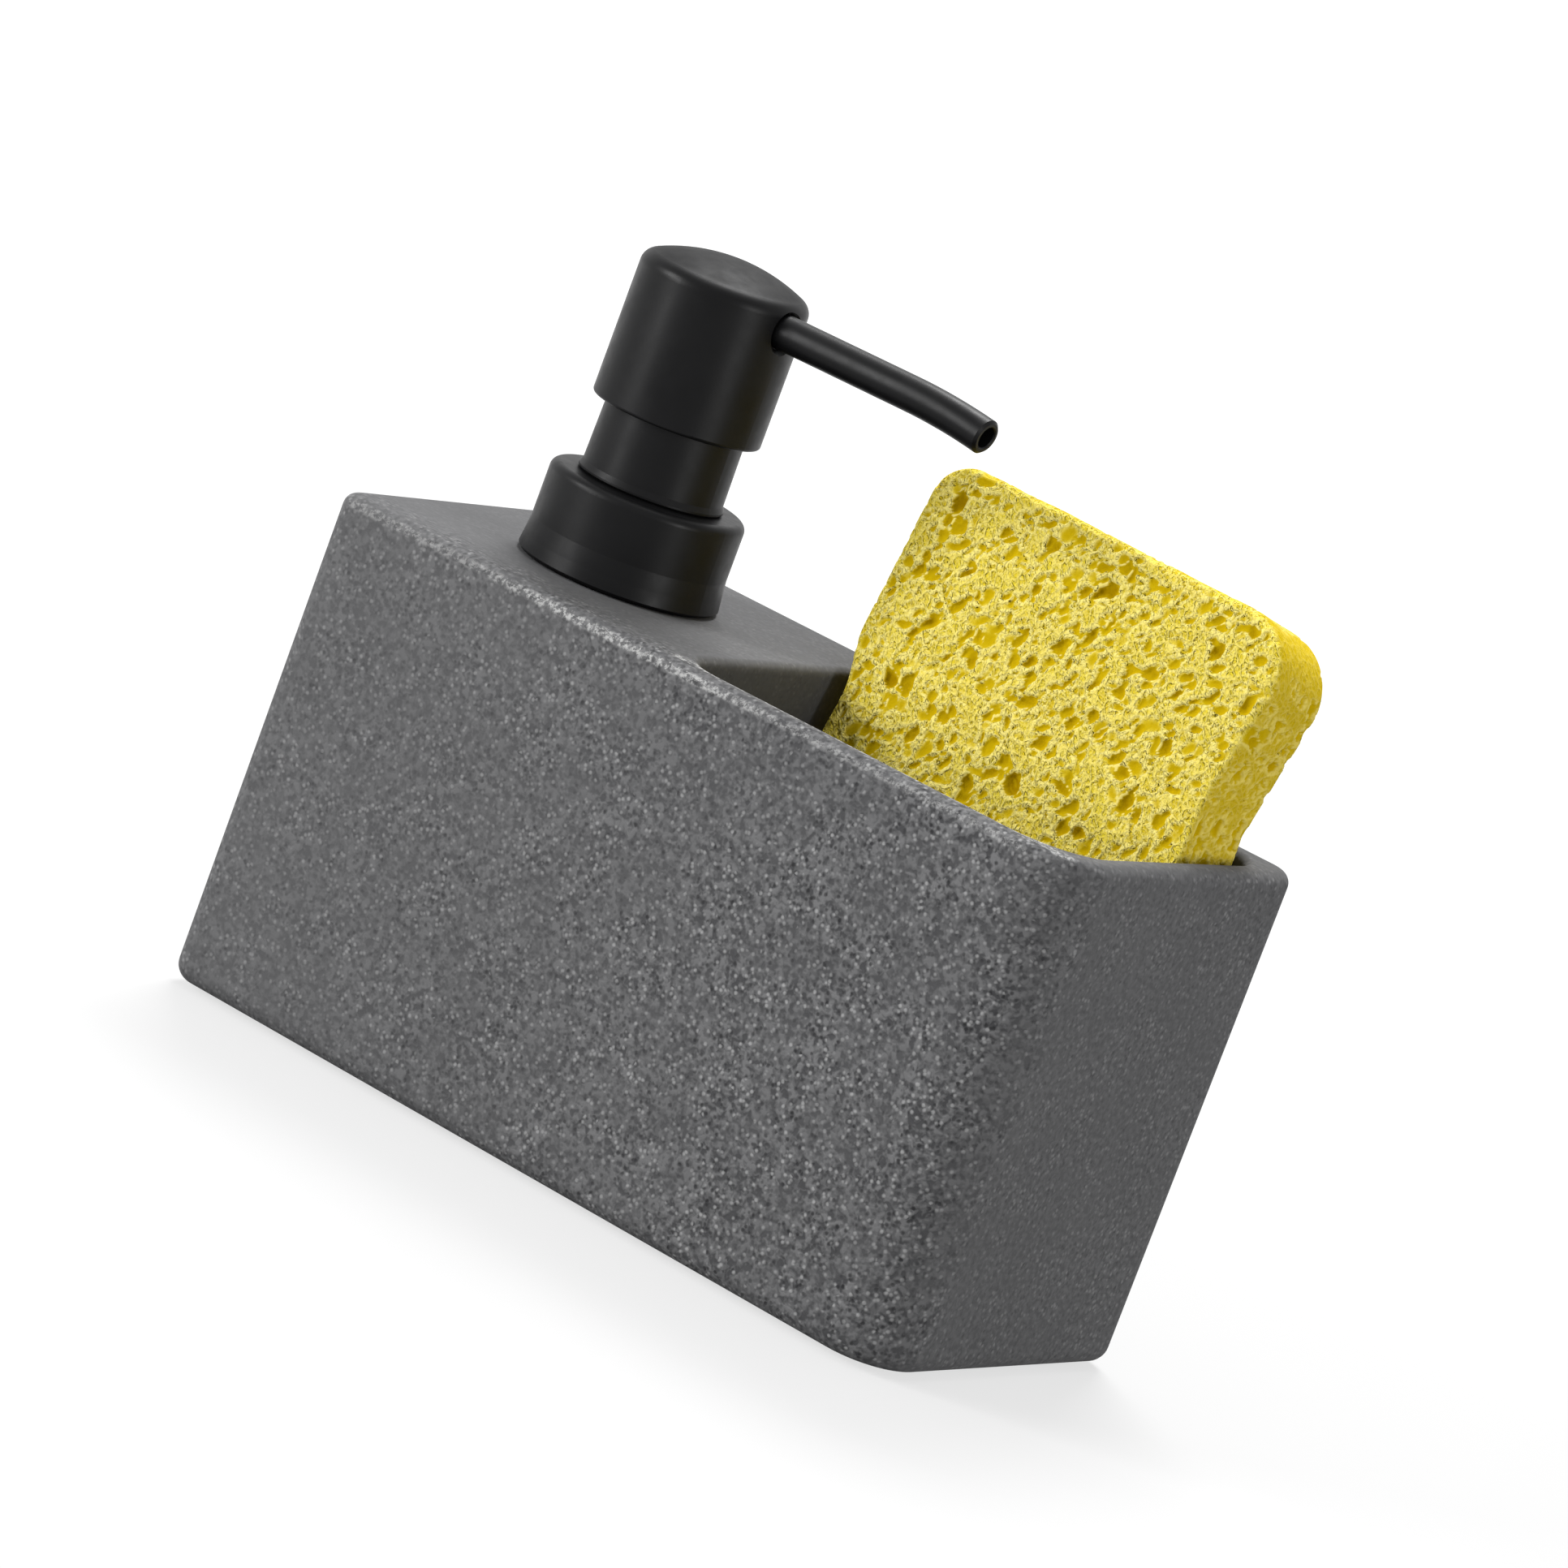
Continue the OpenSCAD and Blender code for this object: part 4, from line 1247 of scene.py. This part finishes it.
@dataclass
class Studio:
    """A plain white floor and backdrop, and the soft lamps round the caddy."""

    floor_half: float = 3.0
    floor_tone: float = 0.22
    near_glow: float = 0.68
    far_glow: float = 0.95
    near: float = 0.30
    far: float = 1.0
    sky: float = 0.34
    aim: Point = (0, 0, 60 * MM)
    lamps: tuple[Lamp, ...] = (
        Lamp("lamp_over", -148, 60, 1.1, 0.42, 0.42, 1.00),
        Lamp("lamp_top", -148, 84, 1.1, 0.90, 0.90, 0.34),
        Lamp("lamp_left", -33, 9, 1.2, 0.22, 0.50, 0.46),
        Lamp("lamp_rake", -46, 22, 1.2, 0.25, 0.40, 0.54),
        Lamp("lamp_right", 79, 9, 1.2, 0.20, 0.45, 0.39))

    def white_for_viewer(self, nodes: bpy.types.Nodes, links: bpy.types.NodeLinks) -> Socket:
        """A level that is 1 for what the camera, a reflection or clear glass shows, and else 0.

        Args:
            nodes: The node tree's nodes.
            links: Its links.

        Returns:
            The level.
        """
        path = nodes.new("ShaderNodeLightPath")
        last = path.outputs["Is Camera Ray"]
        for name in ("Is Glossy Ray", "Is Transmission Ray"):
            step = nodes.new("ShaderNodeMath")
            step.operation = "MAXIMUM"
            links.new(last, step.inputs[0])
            links.new(path.outputs[name], step.inputs[1])
            last = step.outputs["Value"]
        return last

    def build_floor(self) -> None:
        """Lays the floor at the level on which the caddy stands."""
        half = self.floor_half
        points = np.array([(-half, -half, 0), (half, -half, 0), (half, half, 0), (-half, half, 0)])
        floor = mesh_object("studio_floor", points, np.array([[0, 1, 2, 3]]), {})
        tree = Tree("floor_white")
        tree.set(Base_Color=(self.floor_tone,) * 3, Roughness=1.0, Specular_IOR_Level=0.0,
                 Emission_Color=(1.0, 1.0, 1.0))
        seen = self.white_for_viewer(tree.nodes, tree.links)
        distance = tree.vector(Move.LENGTH, tree.place)
        glow = tree.ramp(distance, self.near, self.far, self.near_glow, self.far_glow)
        tree.feed("Emission Strength", tree.times(seen, glow))
        floor.data.materials.append(tree.material)

    def build_sky(self) -> None:
        """Surrounds the scene with soft grey light that looks white."""
        world = bpy.data.worlds.new("studio_sky")
        bpy.context.scene.world = world
        world.use_nodes = True
        nodes, links = world.node_tree.nodes, world.node_tree.links
        nodes.clear()
        output = nodes.new("ShaderNodeOutputWorld")
        shine = nodes.new("ShaderNodeBackground")
        shine.inputs["Color"].default_value = (1, 1, 1, 1)
        strength = nodes.new("ShaderNodeMapRange")
        strength.inputs["To Min"].default_value = self.sky
        strength.inputs["To Max"].default_value = 1.0
        links.new(self.white_for_viewer(nodes, links), strength.inputs["Value"])
        links.new(strength.outputs["Result"], shine.inputs["Strength"])
        links.new(shine.outputs["Background"], output.inputs["Surface"])

    def build(self) -> None:
        """Makes floor, sky and lamps."""
        self.build_floor()
        self.build_sky()
        for lamp in self.lamps:
            lamp.hang(self.aim)
        bpy.context.scene.view_settings.view_transform = "Standard"
        log.info("studio is lit by %d lamps", len(self.lamps))


@dataclass
class ProductCamera:
    """The camera of the picture, worked out from the caddy's edges and rims.

    Frame width and focal length are in pixels, sensor and place in mm, angles in degrees, and the limits
    of what it sees in metres.
    """

    frame_width: float = 1932.0
    focal: float = 9344.15
    sensor: float = 36.0
    azimuth: float = 32.10
    elevation: float = 11.36
    roll: float = 20.56
    place: Point = (608.377, -968.058, 295.860)
    near: float = 0.05
    far: float = 50.0

    def build(self) -> bpy.types.Object:
        """Makes the camera and sets it as the scene's.

        Returns:
            The camera.
        """
        back = direction(self.azimuth, self.elevation)
        turn, roll = math.radians(self.azimuth), math.radians(self.roll)
        right = Vector((math.cos(turn), math.sin(turn), 0))
        up = back.cross(right)
        side = right * math.cos(roll) + up * math.sin(roll)
        above = up * math.cos(roll) - right * math.sin(roll)
        lens = bpy.data.cameras.new("product_camera")
        lens.sensor_fit = "HORIZONTAL"
        lens.sensor_width = self.sensor
        lens.lens = self.focal / self.frame_width * self.sensor
        lens.clip_start, lens.clip_end = self.near, self.far
        camera = bpy.data.objects.new("product_camera", lens)
        pose = Matrix((side, above, back)).transposed().to_4x4()
        pose.translation = Vector(self.place) * MM
        camera.matrix_world = pose
        bpy.context.scene.collection.objects.link(camera)
        bpy.context.scene.camera = camera
        log.info("camera stands at %s", tuple(round(c, 4) for c in pose.translation))
        return camera


def main() -> None:
    """Builds camera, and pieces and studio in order."""
    logging.basicConfig(level=logging.INFO, format="%(name)s: %(message)s")
    ProductCamera().build()
    StoneBlock().build()
    PumpBody().build()
    CoilSpring().build()
    PumpHead().build()
    CelluloseSponge().build()
    Studio().build()


if __name__ == "__main__":
    main()
